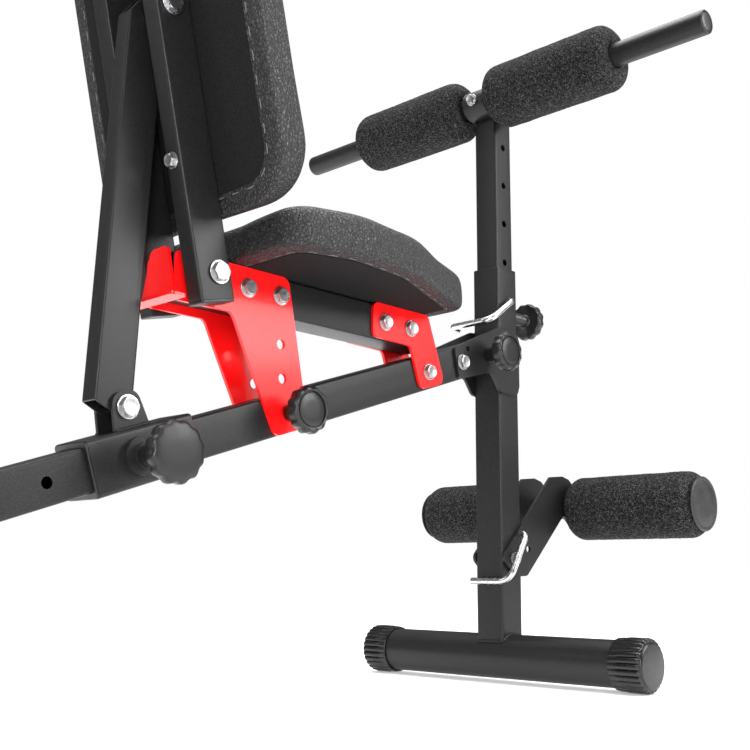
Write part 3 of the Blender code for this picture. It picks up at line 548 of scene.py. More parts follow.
def knob(name, matrix, radius, face, thick, reach, neck, neck_length, pin=4.8, lobes=12, inset_disc=True):
    """A scalloped hand knob: finger hollows, a rounded rim, and an inset disc or a plain domed face."""
    count = lobes * 12

    def ring(r, depth):
        points = []
        for i in range(count):
            t = 2 * pi * i / count
            dip = (0.5 + 0.5 * cos(lobes * t)) ** 1.1
            points.append(((r - depth * dip) * cos(t), (r - depth * dip) * sin(t)))
        return points

    hollow, low = radius * 0.062, face - thick
    disc, shoulder = radius * 0.68, max(face - thick - neck_length, 1.0)
    if inset_disc:
        profile = [(disc * 0.5, 0, face - 0.2), (disc * 0.93, 0, face - 0.5), (disc, 0, face - 1.1),
                   (disc + 0.5, 0, face - 2.3), (disc + 1.5, 0, face - 2.3), (disc + 2.1, 0, face - 0.4)]
    else:
        profile = [(radius * part, 0, face - 2.6 * part**2.5) for part in (0.3, 0.5, 0.65, 0.78)]
        face -= 1.9
    profile += [
        (radius * 0.86, hollow * 0.35, face), (radius * 0.92, hollow * 0.7, face - 0.8),
        (radius * 0.965, hollow * 0.95, face - 2.2), (radius * 0.99, hollow, face - 3.8),
        (radius, hollow, face - thick * 0.4), (radius, hollow, low + thick * 0.25),
        (radius * 0.98, hollow, low + 1.8), (radius * 0.93, hollow * 0.8, low + 0.5),
        (radius * 0.86, hollow * 0.5, low), (neck + 3.0, 0, low + 0.2), (neck + 0.7, 0, low - 1.2),
        (neck, 0, low - 2.4), (neck * 0.96, 0, shoulder + 0.8), (neck * 0.9, 0, shoulder),
        (pin, 0, shoulder), (pin, 0, -reach),
    ]
    rings = [(ring(r, depth), h) for r, depth, h in profile]
    return show(smooth(lofted(name + "_look", rings, PLASTIC, matrix), 38), name)


def wire(name, points, radius):
    curve = bpy.data.curves.new(name, "CURVE")
    curve.dimensions, curve.bevel_depth, curve.bevel_resolution = "3D", radius * MM, 6
    curve.use_fill_caps = True
    spline = curve.splines.new("POLY")
    spline.points.add(len(points) - 1)
    for point, place in zip(spline.points, points):
        point.co = (*at(*place), 1)
    return show(smooth(new_object(name + "_look", drawn(name, curve), PIN_STEEL), 50), name)


def bent(points, radii, steps=12):
    """The corner points of a wire route, with each inner corner rounded by its own radius."""
    route = [Vector(points[0])]
    for before, here, after, radius in zip(points, points[1:], points[2:], radii):
        here = Vector(here)
        back, ahead = (Vector(before) - here).normalized(), (Vector(after) - here).normalized()
        for step in range(steps + 1):
            t = step / steps
            route.append(here + (back * (1 - t) ** 2 + ahead * t**2) * radius)
    return route + [Vector(points[-1])]


# --- feet ---
def foot(prefix, x):
    tube = extruded(f"{prefix}_tube_look", [circle(30, 72), circle(28, 72)], 2 * 232.6, BLACK,
                    across(x, 0, FOOT_Z))
    show(smooth(tube, 60), prefix + "_tube")
    ribs, count = 26, 26 * 12

    def ring(r, depth):
        points = []
        for i in range(count):
            t = 2 * pi * i / count - pi / 2
            wave = abs(sin(ribs * t / 2 + ribs * pi / 4)) ** 0.55
            reach = r - depth * (1 - wave)
            points.append((reach * cos(t), max(reach * sin(t), -FOOT_Z)))
        return points

    end, low = 236.6, 236.6 - 47
    profile = (
        (30.3, 0, end - 3.7), (30.3, 0, low + 0.6), (30.9, 0, low), (32.0, 0, low), (33.0, 0.6, low + 0.8),
        (33.4, 1.2, low + 4), (33.4, 1.2, low + 12), (34.2, 2.8, low + 14), (34.2, 2.8, end - 7),
        (33.9, 2.8, end - 5), (32.6, 1.9, end - 3.4), (30.6, 0.4, end - 2.6), (29.4, 0, end - 2.7),
        (28.8, 0, end - 2.2), (28.2, 0, end - 0.6), (27.4, 0, end - 0.1), (26.6, 0, end),
    )
    for side, sign in SIDES:
        # the left cap's second axis points down, so its flat underside is turned over
        rings = [([(px, -sign * py) for px, py in ring(r, depth)], h) for r, depth, h in profile]
        cap = lofted(f"{prefix}_cap_{side}_look", rings, CAP, across(x, 0, FOOT_Z, sign))
        show(smooth(cap, 35), f"{prefix}_cap_{side}")


# --- base ---
FRONT_BOLTS = ((-264.5, SEAT_Z), (-216.2, SEAT_Z))
REAR_BOLTS = ((-488.3, SEAT_Z), (-440.1, SEAT_Z))
HOLE = 5.4


def plate(name, outline, holes, thickness, kind, y, rounding=0.55):
    obj = extruded(name + "_look", [rounded(outline), *holes], thickness, kind, across(0, y, 0))
    return show(eased(obj, rounding), name)


def build_base():
    beam = square_tube("main_beam_look", on_beam(REAR_X / cos(SLOPE)), on_beam(-38), 45, 45, 0, BLACK)
    cut(beam, cylinder("cope", 30.3, at(REAR_X, -60, FOOT_Z), at(REAR_X, 60, FOOT_Z), 96))
    holes = [(SLEEVE_KNOB_AT - k * 101.6, 6.0) for k in range(7)]
    holes += [(FOLD_AT, 5.3), (SEAT_AT, 5.3), (FOLD_KNOB_AT, 6.0), (SEAT_KNOB_AT, 6.0)]
    for s, r in holes:
        drill(beam, *on_beam(s), r)
    show(eased(beam, 0.4), "main_beam")
    foot("rear_foot", REAR_X)
    seat = square_tube("seat_beam_look", (-586, SEAT_Z), (-176, SEAT_Z), 45, 45, 0, BLACK)
    for x, z in FRONT_BOLTS + REAR_BOLTS + (BACK_PIVOT,):
        drill(seat, x, z, HOLE)
    show(eased(seat, 0.4), "seat_beam")
    pivot, lock = on_beam(SEAT_AT), on_beam(SEAT_KNOB_AT)
    arm = dist(pivot, lock)
    locks = [(pivot[0] - arm * cos(t), pivot[1] - arm * sin(t))
             for t in (SLOPE, SLOPE - radians(8.8), SLOPE - radians(17.6))]
    front = [(-285.5, 436.5, 9), (-215.5, 435.0, 8), (-195.5, 380.1, 11), (-148.4, 394.9, 11),
             (-181.0, 481.5, 9), (-285.5, 481.5, 9)]
    rear = [(-586.0, 426.2, 7), (-509.5, 426.2, 10), (-442.8, 294.7, 10), (-393.3, 311.1, 14),
            (-428.0, 481.5, 11), (-586.0, 481.5, 6)]
    front_holes = [circle(HOLE, x=x, y=z) for x, z in FRONT_BOLTS + (pivot,)]
    rear_holes = [circle(HOLE, x=x, y=z) for x, z in REAR_BOLTS + (BACK_PIVOT,)]
    rear_holes += [circle(6.0, x=x, y=z) for x, z in locks]
    for side, sign in SIDES:
        plate(f"seat_front_plate_{side}", front, front_holes, 4, RED, sign * PLATE_Y)
        plate(f"seat_rear_plate_{side}", rear, rear_holes, 4, RED, sign * PLATE_Y)
    build_stop()
    outer = PLATE_Y + 2
    for end, row in (("front", FRONT_BOLTS), ("rear", REAR_BOLTS)):
        for i, (x, z) in enumerate(row):
            side_bolt(f"seat_{end}_bolt_{i + 1}", x, z, outer)
    side_bolt("seat_pivot_bolt", *pivot, outer)
    side_bolt("back_pivot_bolt", *BACK_PIVOT, 57.0, flats=19.0, washer=13.0)
    turns = [radians(-12 + k * 7) for k in range(13)]
    for side, sign in reversed(SIDES):
        arc = [(REAR_X + 30.6 * cos(t), sign * 22.8, FOOT_Z + 30.6 * sin(t)) for t in turns]
        weld(f"beam_foot_weld_{side}", arc, 2.0, "base")


def build_stop():
    fold, top = 3.5, 428.3
    web_x = -586.6
    web = rounded([(-30, top - 1.5, 0), (30, top - 1.5, 0), (15, 487, 8), (-15, 487, 8)])
    upright = extruded("back_stop_look", [web], fold, RED,
                       facing(at(web_x - fold / 2, 0, 0), (1, 0, 0), (0, 1, 0)))
    ledge = rounded([(-606, -48, 5), (web_x - 0.5, -48, 2), (web_x - 0.5, 48, 2), (-606, 48, 5)])
    shelf = extruded("ledge", [ledge], fold, RED, facing(at(0, 0, top - fold / 2), (0, 0, 1), (1, 0, 0)))
    show(eased(cut(upright, shelf, "UNION"), 0.7, 3), "back_stop")


# --- pads ---
def inset(points, by):
    """A closed outline moved in by this much."""
    out = []
    n = len(points)
    for i in range(n):
        a, b, c = Vector(points[i - 1]), Vector(points[i]), Vector(points[(i + 1) % n])
        t = ((b - a).normalized() + (c - b).normalized()).normalized()
        out.append((b.x - t.y * by, b.y + t.x * by))
    return out


def even(points, step):
    """A closed outline resampled at even steps."""
    path = [Vector(p) for p in points] + [Vector(points[0])]
    lengths = [(b - a).length for a, b in zip(path, path[1:])]
    total = sum(lengths)
    count = round(total / step)
    out, i, done = [], 0, 0.0
    for k in range(count):
        want = total * k / count
        while done + lengths[i] < want:
            done += lengths[i]
            i += 1
        p = path[i].lerp(path[i + 1], (want - done) / lengths[i])
        out.append((p.x, p.y))
    return out


def stitches(name, outline, height, matrix, body, pitch=25.0):
    """A row of thread dashes, each sunk at its ends."""
    made = bmesh.new()
    ring = [Vector(p) for p in even(outline, pitch / 12)]
    for k in range(0, len(ring) - 6, 12):
        run = ring[k:k + 6]
        along = (run[-1] - run[0]).normalized()
        side = Vector((-along.y, along.x))
        loops = []
        for i, p in enumerate(run):
            rise = height + 0.45 * sin(pi * (0.08 + 0.84 * i / 5)) - 0.25
            around = [(*(p + side * x), rise + y * 0.7) for x, y in circle(0.62, 8)]
            loops.append([made.verts.new(Vector(place) * MM) for place in around])
        joined(made, loops)
    return show(smooth(new_object(name, finished(made, name), THREAD, matrix), 80), body=body)


def swell(obj, flat_below, cap, pressure, voxel=4.0):
    """Fills a closed pad by cloth simulation. Points under flat_below, in local Z, stay on the board.
    The swelling is evened out like stuffed foam, and no point moves further than cap."""
    remesh = obj.modifiers.new("voxels", "REMESH")
    remesh.mode, remesh.voxel_size, remesh.adaptivity = "VOXEL", voxel * MM, 0.0
    even_out = obj.modifiers.new("even", "SMOOTH")
    even_out.factor, even_out.iterations = 0.5, 3
    mesh = evaluated_mesh(obj)
    obj.modifiers.clear()
    obj.data = mesh
    before = np.array([v.co[:] for v in mesh.vertices])
    held = obj.vertex_groups.new(name="held")
    held.add([v.index for v in mesh.vertices if v.co.z < flat_below * MM], 1.0, "REPLACE")
    cloth = obj.modifiers.new("cloth", "CLOTH")
    settings = cloth.settings
    settings.quality, settings.mass = 5, 0.3
    settings.tension_stiffness = settings.compression_stiffness = 15
    settings.bending_stiffness = 5.0
    settings.use_pressure, settings.uniform_pressure_force = True, pressure
    settings.effector_weights.gravity = 0
    settings.vertex_group_mass = "held"
    cloth.point_cache.frame_start, cloth.point_cache.frame_end = 1, 20
    for step in range(1, 21):
        bpy.context.scene.frame_set(step)
    mesh = evaluated_mesh(obj)
    bpy.context.scene.frame_set(1)
    obj.modifiers.clear()
    move = np.array([v.co[:] for v in mesh.vertices]) - before
    edges = np.array([e.vertices[:] for e in mesh.edges])
    ends, others = np.concatenate([edges, edges[:, ::-1]]).T
    share = np.bincount(ends, minlength=len(move))[:, None]
    on_board = before[:, 2] < flat_below * MM
    for _ in range(90):
        mean = np.stack([np.bincount(ends, move[others, k], len(move)) for k in range(3)], 1) / share
        move = 0.4 * move + 0.6 * mean
        move[on_board] = 0
    length = np.linalg.norm(move, axis=1, keepdims=True)
    move *= np.minimum(1, cap * MM / np.maximum(length, 1e-9))
    mesh.vertices.foreach_set("co", (before + move).ravel())
    obj.data = mesh
    return obj


def gathered(obj, outline, middle, width, depth, top):
    """Small folds drawn in along the seam under the pad, where the cover turns on to the board."""
    ring = np.array(even(outline, 3.0))
    co = np.array([v.co[:] for v in obj.data.vertices]) / MM
    low = np.nonzero(co[:, 2] < top)[0]
    near = np.linalg.norm(co[low, None, :2] - ring[None], axis=2)
    gap, index = near.min(axis=1), near.argmin(axis=1)
    for k, where in enumerate(low):
        t = index[k] * 3.0
        fold = noise.noise(Vector((t * 0.16, 0.3, gap[k] * 0.02))) * 0.7
        fold += noise.noise(Vector((t * 0.5, 7, 0))) * 0.3
        fade = exp(-(((gap[k] - middle) / width) ** 2))
        obj.data.vertices[int(where)].co.z -= depth * fade * max(-0.25, fold) * MM * 0.9
    obj.data.update()


def seat_outline():
    plan = ((-514, 130, 46), (-430, 158, 120), (-330, 148, 160), (-163, 78, 34))
    right = [(x, -w, r) for x, w, r in plan]
    left = [(x, w, r) for x, w, r in reversed(plan)]
    return rounded(right + left, 12)


def finish_pad(name, nodes, rings, matrix, flat_below, cap, pressure, panel, panel_z, body, slot_box=None):
    pad = swell(lofted(name + "_pad", rings, VINYL, matrix), flat_below, cap, pressure)
    fine = pad.modifiers.new("fine", "SUBSURF")
    fine.levels = fine.render_levels = 1
    pad.data = evaluated_mesh(pad)
    pad.modifiers.clear()
    gathered(pad, panel, 15.0, 8.0, 0.7, panel_z + 4)
    pad.data.materials.clear()
    pad.data.materials.append(VINYL)
    if slot_box:
        cut(pad, slot_box())
    pad.data.shade_smooth()
    show(pad, *nodes)
    place = matrix @ Matrix.Translation((0, 0, panel_z * MM))
    under = extruded(name + "_panel", [even(inset(panel, 25.5), 4.0)], 1.1, BACKING, place)
    if slot_box:
        cut(under, slot_box())
    show(eased(under, 0.4, 2), body=body)
    stitches(name + "_stitches", inset(panel, 21.0), panel_z - 0.1, matrix, body)


def build_seat():
    outline = even(seat_outline(), 5.0)
    place = facing(at(0, 0, 0), (0, 0, 1), (1, 0, 0))
    rings = [(inset(outline, 9), 482.6), (inset(outline, 4), 483.4), (inset(outline, 1), 486),
             (inset(outline, 0.2), 492), (inset(outline, 0), 505), (inset(outline, 0.6), 516),
             (inset(outline, 3), 524), (inset(outline, 8.5), 529.5), (inset(outline, 18), 532.5),
             (inset(outline, 38), 534.0), (inset(outline, 60), 534.6)]
    finish_pad("seat", ("seat_pad", "seat_board"), rings, place, 484.5, 5, 3.0, outline, 482.4, "base")


def back_outline(by=0.0, lift=0.0):
    w, r, foot = 161.0 - by, 58.0 - by, 58.0 + by + lift
    return rounded([(-w, foot, r), (w, foot, r), (w, 750 - by, r), (-w, 750 - by, r)], 12)


def build_back_pad():
    forward = Vector((cos(LEAN), 0, sin(LEAN)))
    start = on_rail(0, 22.8)
    place = facing(at(start[0], 0, start[1]), forward, (0, 1, 0))
    rings = [(back_outline(6), 0.7), (back_outline(2), 1.4), (back_outline(0.3, 0.5), 4),
             (back_outline(0, 1), 9), (back_outline(0, 2), 18), (back_outline(0.3, 4), 28),
             (back_outline(0.8, 7), 36), (back_outline(3, 9), 41), (back_outline(9, 12), 43.8),
             (back_outline(24, 16), 45.0)]
    count = len(even(back_outline(), 5.0))
    rings = [(resampled(ring, count), h) for ring, h in rings]

    def slot_box():
        box = rounded([(-14, 214, 3), (14, 214, 3), (14, 314, 3), (-14, 314, 3)], 4)
        return extruded("slot", [box], 28, VINYL, place @ Matrix.Translation((0, 0, 11.2 * MM)))

    finish_pad("back", ("back_pad", "back_board"), rings, place, 2.2, 3.5, 2.5, back_outline(), 0.55,
               "backrest", slot_box)


def resampled(points, count):
    path = [Vector(p) for p in points] + [Vector(points[0])]
    total = sum((b - a).length for a, b in zip(path, path[1:]))
    out = even(points, total / count)
    return (out + [out[-1]])[:count]


# --- backrest frame ---
def build_backrest():
    strut_bolt = on_rail(*STRUT_BOLT)
    forward = (cos(LEAN), 0, sin(LEAN))
    up = (-sin(LEAN), 0, cos(LEAN))
    back = [-c for c in forward]
    for side, sign in SIDES:
        y = sign * 44.0
        rail = square_tube(f"back_rail_{side}_look", on_rail(-28.6), on_rail(470), 25, 45, y, BLACK)
        drill(rail, *BACK_PIVOT, HOLE)
        drill(rail, *strut_bolt, HOLE)
        for where in PAD_BOLTS:
            a, b = on_rail(where, -27.5), on_rail(where, 27.5)
            cut(rail, cylinder("bolt_hole", 4.4, at(a[0], y, a[1]), at(b[0], y, b[1])))
        show(eased(rail, 0.4), f"back_rail_{side}")
        for name, along, sense in (("plug", -28.6, -1), ("top_plug", 470.0, 1)):
            rings = squared(((20.4, 40.4, 1.0, sense * -12), (20.4, 40.4, 1.0, sense * 0.25),
                             (25, 45, 3.0, sense * 0.3), (25, 45, 3.0, sense * 2.2),
                             (23.4, 43.4, 2.4, sense * 3.3)))
            place = on_rail(along)
            plug = lofted(f"back_rail_{name}_{side}_look", rings, PLASTIC,
                          facing(at(place[0], y, place[1]), up, (0, 1, 0)))
            smooth(plug, 30)
            if name == "plug":
                show(plug, f"back_rail_plug_{side}")
            else:
                show(plug, body="backrest")
        for where in PAD_BOLTS:
            head = on_rail(where, -22.5)
            place = facing(at(head[0], y, head[1]), back, (0, 1, 0))
            if where == PAD_BOLTS[0]:
                bolt(f"back_pad_bolt_{side}", place, 53.0, shank=3.8, flats=13.0, washer=9.0, nut=False)
            else:
                extra_bolt(f"back_upper_bolt_{side}", place, 50.0, "backrest")
        place = across(strut_bolt[0], sign * 56.7, strut_bolt[1], sign)
        bolt(f"strut_top_bolt_{side}", place, 43.4, flats=19.0, washer=13.0, nut=False)
    build_back_pad()


def extra_bolt(name, place, grip, body):
    """A small hex bolt with no CAD piece of its own."""
    flats = 13.0
    corner = flats / sqrt(3)
    rings = turned(((3.9, 6.6), (5.5, 6.9), (5.9, 7.0)))
    rings += [(hexagon(flats, corner * 0.9), 6.6), (hexagon(flats, corner * 0.955), 6.2),
              (hexagon(flats), 5.7), (hexagon(flats), 1.9)]
    rings += turned(((8.6, 1.9), (9, 1.4), (9, 0.5), (8.7, 0.3), (3.8, 0.3), (3.8, -grip)))
    return show(smooth(lofted(name, rings, STEEL, place), 28), body=body)


# --- sleeve and strut ---
EAR = (-648.5, 50.2)


def build_sleeve():
    tube = square_tube("slider_sleeve_look", on_beam(-710), on_beam(-584), 58, 58, 0, BLACK, 3.0, 4.5)
    x, z = on_beam(SLEEVE_KNOB_AT)
    for r, low, out in ((20.0, 1.0, 7.0), (13.5, 1.6, 13.0)):
        cut(tube, cylinder("collar", r, at(x, -29 + low, z), at(x, -29 - out, z), 64), "UNION")
    drill(tube, x, z, 6.0, -80.0, 0.0)
    show(eased(tube, 0.7, 3), "slider_sleeve")
    ear = [(EAR[0] - 21, 29.3, 0), (EAR[0] + 21, 29.3, 0), (EAR[0] + 15, EAR[1] + 17, 13.6),
           (EAR[0] - 15, EAR[1] + 17, 13.6)]
    x, z = on_beam(0)
    for side, sign in SIDES:
        y = sign * 15.3
        place = facing(at(x, y, z), (0, -1, 0), (cos(SLOPE), 0, sin(SLOPE)))
        outlines = [rounded(ear), circle(HOLE, x=EAR[0], y=EAR[1])]
        show(eased(extruded(f"strut_ear_{side}_look", outlines, 4, BLACK, place), 0.5), f"strut_ear_{side}")
        edge = [on_beam(EAR[0] - 21, 29.6), on_beam(EAR[0] + 21, 29.6)]
        weld(f"ear_weld_{side}", [(p[0], sign * 18.4, p[1]) for p in edge], 1.9, "slider")
    side_bolt("strut_pivot_bolt", *on_beam(*EAR), 17.3, flats=19.0, washer=13.0)
    # plastic liners, one in each mouth of the sleeve
    for i, (s, sense) in enumerate(((-584.0, 1), (-710.0, -1))):
        a, b = on_beam(s - sense * 12), on_beam(s + sense * 2.2)
        run = Vector((b[0] - a[0], 0, b[1] - a[1]))
        rings = squared(((51.4, 51.4, 1.3, -12), (51.4, 51.4, 1.3, 0.2), (57, 57, 4, 0.3), (57, 57, 4, 1.4),
                         (55.6, 55.6, 3.4, 2.2), (45.8, 45.8, 3.2, 2.2), (45.8, 45.8, 3.2, -12)))
        x, z = on_beam(s)
        place = facing(at(x, 0, z), run, (0, 1, 0))
        show(smooth(lofted(f"sleeve_liner_{i + 1}", rings, PLASTIC, place, True), 30), body="slider")


def build_strut():
    low, high = Vector(on_beam(*EAR)), Vector(on_rail(*STRUT_BOLT))
    lean = radians(90 - 2.4)
    up, front = Vector((cos(lean), sin(lean))), Vector((sin(lean), -cos(lean)))
    axis_top = high + up * 20.0
    axis_low = axis_top - up * ((axis_top - low).dot(up) + 20.0)
    tube = square_tube("strut_look", tuple(axis_low), tuple(axis_top), 25, 45, 0, BLACK)
    drill(tube, *high, HOLE)
    drill(tube, *low, HOLE)

    def trim(corners):
        cut(tube, extruded("trim", [[tuple(c) for c in corners]], 60, BLACK, across(0, 0, 0)))

    for sign in (1, -1):
        edge, tip = high + front * sign * 22.5, high + front * sign * 9.0 + up * 20.0
        out = tip - edge
        trim([edge - out * 0.3, edge + front * sign * 30, tip + front * sign * 30 + up * 30, tip + out * 0.3])
    rear_low, front_low = low - front * 35.6 + up * 3, low + front * 9.4 - up * 18
    out = front_low - rear_low
    trim([rear_low - out * 0.2, rear_low - out * 0.2 - up * 60, front_low + out * 0.2 - up * 60,
          front_low + out * 0.2])
    show(eased(tube, 0.5), "strut")


# --- front post ---
def build_post():
    post = square_tube("front_post_look", (0, FOOT_Z), (0, POST_TOP), 45, 45, 0, BLACK)
    cut(post, cylinder("cope", 30.3, at(0, -60, FOOT_Z), at(0, 60, FOOT_Z), 96))
    drill(post, 0, BRACKET_Z, HOLE)
    drill(post, *BRACKET_PIN, 5.0)
    drill(post, 0, PIN_Z, 5.0)
    cut(post, cylinder("nut", 11.0, at(21.5, 0, CLAMP_Z), at(30.5, 0, CLAMP_Z), 48), "UNION")
    cut(post, cylinder("clamp", 6.0, at(10, 0, CLAMP_Z), at(40, 0, CLAMP_Z)))
    show(eased(post, 0.45), "front_post")
    rings = squared(((39.2, 39.2, 1.0, -12), (40.6, 40.6, 1.6, -12), (40.6, 40.6, 1.6, 0.3),
                     (45, 45, 3.0, 0.3), (45, 45, 3.0, 2.6), (43.6, 43.6, 2.6, 3.5), (39.2, 39.2, 1.0, 3.5)))
    place = facing(at(0, 0, POST_TOP), (0, 0, 1), (1, 0, 0))
    show(smooth(lofted("post_collar_look", rings, PLASTIC, place, True), 30), "post_collar")
    gusset = [(-126.5, 447.5, 7), (-116.5, 404.5, 7), (-45.0, 424.5, 14), (-26.0, 399.0, 12),
              (15.0, 397.5, 10), (20.0, 412.0, 6), (20.0, 483.0, 8), (7.0, 493.0, 6), (-29.0, 491.5, 10)]
    fold, pin = on_beam(FOLD_AT), on_beam(FOLD_KNOB_AT)
    holes = [circle(HOLE, x=fold[0], y=fold[1]), circle(6.0, x=pin[0], y=pin[1]), circle(4.0, x=-98, y=449.8)]
    for side, sign in SIDES:
        plate(f"post_gusset_{side}", gusset, holes, 4, BLACK, sign * PLATE_Y)
        y = sign * 23.6
        weld(f"gusset_front_weld_{side}", [(20.2, y, 414), (20.2, y, 482)], 1.7, "post")
        weld(f"gusset_top_weld_{side}", [(6, y, 493.2), (-20, y, 492.2)], 1.6, "post")
        weld(f"gusset_low_weld_{side}", [(-20, y, 398.4), (13, y, 397.4)], 1.6, "post")
    side_bolt("fold_bolt", *fold, PLATE_Y + 2)
    foot("front_foot", 0.0)
    for side, sign in SIDES:
        arc = [(x, sign * 22.9, FOOT_Z + sqrt(30.6**2 - x * x)) for x in range(-22, 23, 2)]
        weld(f"post_foot_weld_{side}", arc, 2.2, "post")
    rise = FOOT_Z + sqrt(30.6**2 - 22.5**2)
    for i, x in enumerate((-22.9, 22.9)):
        weld(f"post_foot_end_weld_{i + 1}", [(x, -21, rise), (x, 21, rise)], 2.4, "post")
    place = facing(at(30.8, 0, CLAMP_Z), (1, 0, 0), (0, 1, 0))
    knob("post_clamp_knob", place, 28.0, 56.0, 15.0, 11.0, 9.0, 40.0)
    wire("post_height_pin", bent([(0, -21.1, PIN_Z), (0, -33, PIN_Z), (-54, -33, 498), (-54, 38, 497.5),
                                  (-42, 34, 494.5)], (9, 16, 7)), WIRE_RADIUS)
    x, z = BRACKET_PIN
    wire("bracket_lock_pin", bent([(x, -27.6, z), (x, -39.5, z), (-29, -39.5, 136), (-29, 25, 136)],
                                  (10, 20)), WIRE_RADIUS)
    for name, s in (("fold_knob", FOLD_KNOB_AT), ("seat_knob", SEAT_KNOB_AT)):
        x, z = on_beam(s)
        knob(name, across(x, -27.1, z), 27.5, 41.0, 15.0, 3.6, 10.0, 25.0)
    x, z = on_beam(SLEEVE_KNOB_AT)
    knob("slider_knob", across(x, -42.3, z), 32.0, 55.0, 17.0, 17.5, 11.0, 37.0, inset_disc=False)


def build_mast():
    post = square_tube("inner_post_look", (0, 420), (0, 832), 38, 38, 0, BLACK)
    x, z = UPPER_BAR
    cut(post, cylinder("ring", 22, at(x, -19, z), at(x, 19, z), 96), "UNION")
    cut(post, cylinder("bore", 16.3, at(x, -60, z), at(x, 60, z), 96))
    for k in range(5):
        drill(post, 0, PIN_Z + k * 59.3, 5.0)
    cut(post, cylinder("ring_bolt_hole", 4.4, at(x - 27, 0, z), at(x - 8, 0, z)))
    show(eased(post, 0.45), "inner_post")
    bar = extruded("upper_bar_look", [circle(16, 64), circle(14, 64)], 724, BLACK, across(x, 0, z))
    show(eased(bar, 0.4), "upper_bar")
    for side, sign in SIDES:
        rings = turned(((13.7, 352), (13.7, 361.9), (15.4, 362.0), (15.9, 362.4), (15.6, 363.6),
                        (14.2, 364.8), (9, 365.4)), 64)
        plug = lofted(f"upper_bar_plug_{side}", rings, PLASTIC, across(x, 0, z, sign))
        show(smooth(plug, 40), body="upper_mast")
        weld(f"ring_weld_{side}", [(-19.2, sign * 17.5, 817.5), (-17.5, sign * 18.6, 812)], 1.4, "upper_mast")
    bolt("upper_bar_bolt", facing(at(x - 22.3, 0, z), (-1, 0, 0), (0, 1, 0)), 10.0, shank=3.8, flats=13.0,
         washer=9.0, nut=False)


def build_bracket():
    x, z = LOWER_BAR
    stow = Matrix.Rotation(-radians(48), 2) @ Vector((BRACKET_PIN[0], BRACKET_PIN[1] - BRACKET_Z))
    outline = [(-28.0, 168.0, 9), (2.5, 142.0, 9), (30.0, 143.5, 9), (124.0, 232.0, 6), (142.0, 217.0, 10),
               (168.0, 228.0, 14), (170.0, 262.0, 12), (140.0, 285.5, 6), (123.0, 289.5, 4), (92.0, 286.5, 4)]
    holes = [circle(HOLE, x=0.0, y=BRACKET_Z), circle(5.0, x=BRACKET_PIN[0], y=BRACKET_PIN[1]),
             circle(5.0, x=stow.x, y=BRACKET_Z + stow.y), circle(14.3, 64, x, z)]
    for side, sign in SIDES:
        plate(f"bracket_plate_{side}", outline, holes, 4, BLACK, sign * 25.2)
    side_bolt("bracket_bolt", 0, BRACKET_Z, 27.2, flats=13.0, washer=9.0)
    end = 237.8
    bar = extruded("lower_bar_look", [circle(14, 64), circle(12, 64)], 2 * end, BLACK, across(x, 0, z))
    show(eased(bar, 0.4), "lower_bar")
    for side, sign in SIDES:
        rings = turned(((11.7, end - 14), (11.7, end + 0.3), (36.6, end + 0.3), (37.4, end + 0.9),
                        (37.5, end + 1.8), (36.7, end + 2.8), (35.2, end + 3.15), (33.6, end + 3.1),
                        (32.8, end + 2.6), (31.6, end + 2.6), (30.6, end + 3.0), (14, end + 3.2)), 96)
        disc = lofted(f"roller_disc_{side}_look", rings, DISC, across(x, 0, z, sign))
        show(smooth(disc, 40), f"roller_disc_{side}")
        loop = [(px, sign * 28.2, pz) for px, pz in circle(15, 24, x, z)]
        weld(f"lower_bar_weld_{side}", loop, 1.8, "bracket", closed=True)


# --- foam ---
def roller(name, place, sign, span, bore):
    """A foam sleeve with rounded ends and a slightly uneven surface. Its bore stays smooth."""
    (low, high), big, end = span, 46.0, 19.0
    profile = [(bore + 0.3, high - 3), (bore + 2.5, high - 0.8)]
    profile += [(big - end + end * sin(t), high - end + end * cos(t) * 0.98)
                for t in (pi / 2 * k / 14 for k in range(15))]
    steps = round((high - low - 2 * end) / 2.2)
    profile += [(big, high - end - (high - low - 2 * end) * k / steps) for k in range(1, steps)]
    profile += [(big - end + end * cos(t), low + end - end * sin(t) * 0.98)
                for t in (pi / 2 * k / 14 for k in range(15))]
    profile += [(bore + 2.5, low + 0.8), (bore + 0.3, low + 3), (bore, low + 6), (bore, high - 6)]
    made, loops = bmesh.new(), []
    seed = Vector((place[0] * 0.01, sign * 3.0, place[1] * 0.01))
    for r, h in profile:
        loop = []
        for x, y in circle(r, 128):
            p = Vector((x, y, h))
            if r > bore + 4:
                rough = noise.noise(p * 0.32 + seed) * 0.42 + noise.noise(p * 0.045 + seed) * 0.5
                p.xy *= 1 + (rough - 0.15) / r
            loop.append(made.verts.new(p * MM))
        loops.append(loop)
    joined(made, loops, True)
    obj = new_object(name + "_look", finished(made, name), FOAM, across(place[0], 0, place[1], sign))
    obj.data.shade_smooth()
    return show(obj, name)


def build_rollers():
    for side, sign in SIDES:
        roller(f"upper_roller_{side}", UPPER_BAR, sign, (27.0, 232.0), 16.6)
        roller(f"lower_roller_{side}", LOWER_BAR, sign, (34.0, 237.0), 14.6)


# --- studio ---
def aimed(obj, direction):
    obj.rotation_mode = "QUATERNION"
    obj.rotation_quaternion = direction.to_track_quat("-Z", "Y")
    return obj


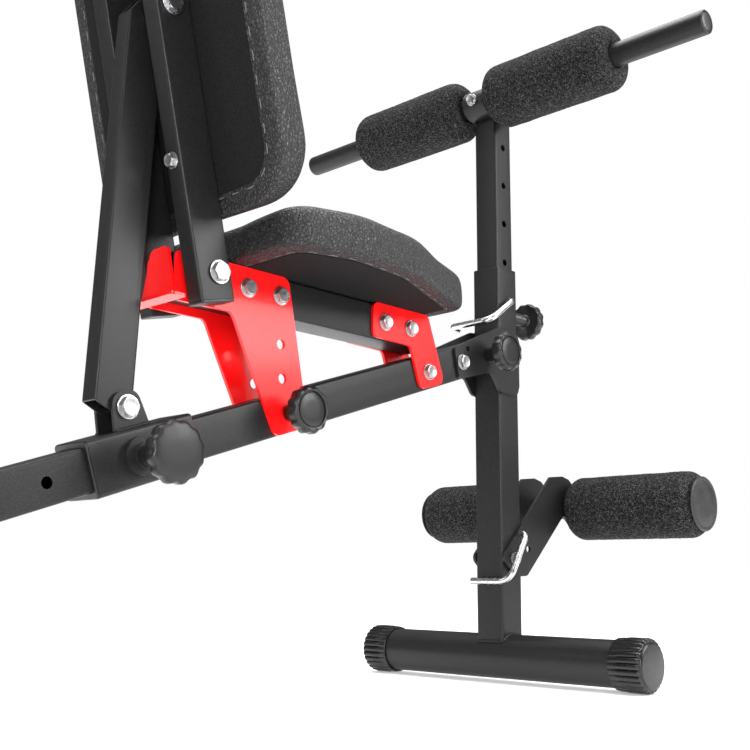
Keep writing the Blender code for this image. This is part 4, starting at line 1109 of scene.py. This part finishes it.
def build_stage():
    made = bmesh.new()
    made.faces.new([made.verts.new((x, y, 0)) for x, y in ((-9, -9), (30, -9), (30, 30), (-9, 30))])
    mesh = bpy.data.meshes.new("floor")
    made.to_mesh(mesh)
    made.free()
    pale = new_material("pale_floor", (0.93, 0.93, 0.93), 0.7, Specular_IOR_Level=0.2,
                        Emission_Color=(1, 1, 1, 1), Emission_Strength=0.38)
    drive(pale, ramp(pale, grain(pale, 3.0, 2.0), 0.92, 0.945), "Base Color")
    floor = new_object("floor", mesh, pale)
    floor.location.z = -0.0006
    # the camera sees a white world, and the bench is lit by a dim one
    world = bpy.data.worlds.new("studio")
    world.use_nodes = True
    tree = world.node_tree
    lit = tree.nodes["Background"]
    lit.inputs["Strength"].default_value = 0.2
    seen = tree.nodes.new("ShaderNodeBackground")
    seen.inputs["Color"].default_value = (1, 1, 1, 1)
    lit.inputs["Color"].default_value = (1, 1, 1, 1)
    path, both = tree.nodes.new("ShaderNodeLightPath"), tree.nodes.new("ShaderNodeMixShader")
    tree.links.new(path.outputs["Is Camera Ray"], both.inputs["Fac"])
    tree.links.new(lit.outputs["Background"], both.inputs[1])
    tree.links.new(seen.outputs["Background"], both.inputs[2])
    tree.links.new(both.outputs["Shader"], tree.nodes["World Output"].inputs["Surface"])
    bpy.context.scene.world = world

    def area(name, place, target, size, power):
        light = bpy.data.lights.new(name, "AREA")
        light.shape, light.size, light.size_y, light.energy = "RECTANGLE", size[0], size[1], power
        aimed(linked(name, light), Vector(target) - Vector(place)).location = place

    area("key", (1.7, -2.5, 1.7), (0.2, 0, 0.5), (1.5, 1.5), 85)
    area("front", (-2.0, -2.5, 1.0), (0.1, 0, 0.5), (0.45, 0.9), 60)
    area("top", (0.4, 0.3, 3.4), (0.4, 0.3, 0.0), (3.0, 2.6), 150)
    area("rim", (-2.4, 1.4, 1.8), (0.0, 0, 0.5), (0.5, 1.2), 10)
    sun = bpy.data.lights.new("sky_panel", "SUN")
    sun.energy, sun.angle = 2.0, radians(60)
    aimed(linked("sky_panel", sun), Vector((0.1, 0.15, -1)))


def build_camera():
    yaw, pitch, roll = radians(43.77), radians(10.53), radians(0.358)
    f = Vector((cos(pitch) * cos(yaw), cos(pitch) * sin(yaw), sin(pitch)))
    r = Vector((sin(yaw), -cos(yaw), 0))
    u = r.cross(f)
    right = r * cos(roll) + u * sin(roll)
    up = u * cos(roll) - r * sin(roll)
    camera = bpy.data.cameras.new("camera")
    camera.lens, camera.sensor_width = 36 * 1077 / 750, 36
    camera.clip_start, camera.clip_end = 0.02, 60
    obj = linked("camera", camera)
    place = Matrix.Translation(at(-1231.8, -936.6, 143.0))
    obj.matrix_world = place @ Matrix((right, up, -f)).transposed().to_4x4()
    bpy.context.scene.camera = obj


build_camera()
build_stage()
build_base()
build_backrest()
build_sleeve()
build_strut()
build_post()
build_mast()
build_bracket()
build_rollers()
build_seat()
bpy.context.scene.view_settings.view_transform = "Standard"
bpy.context.view_layer.update()
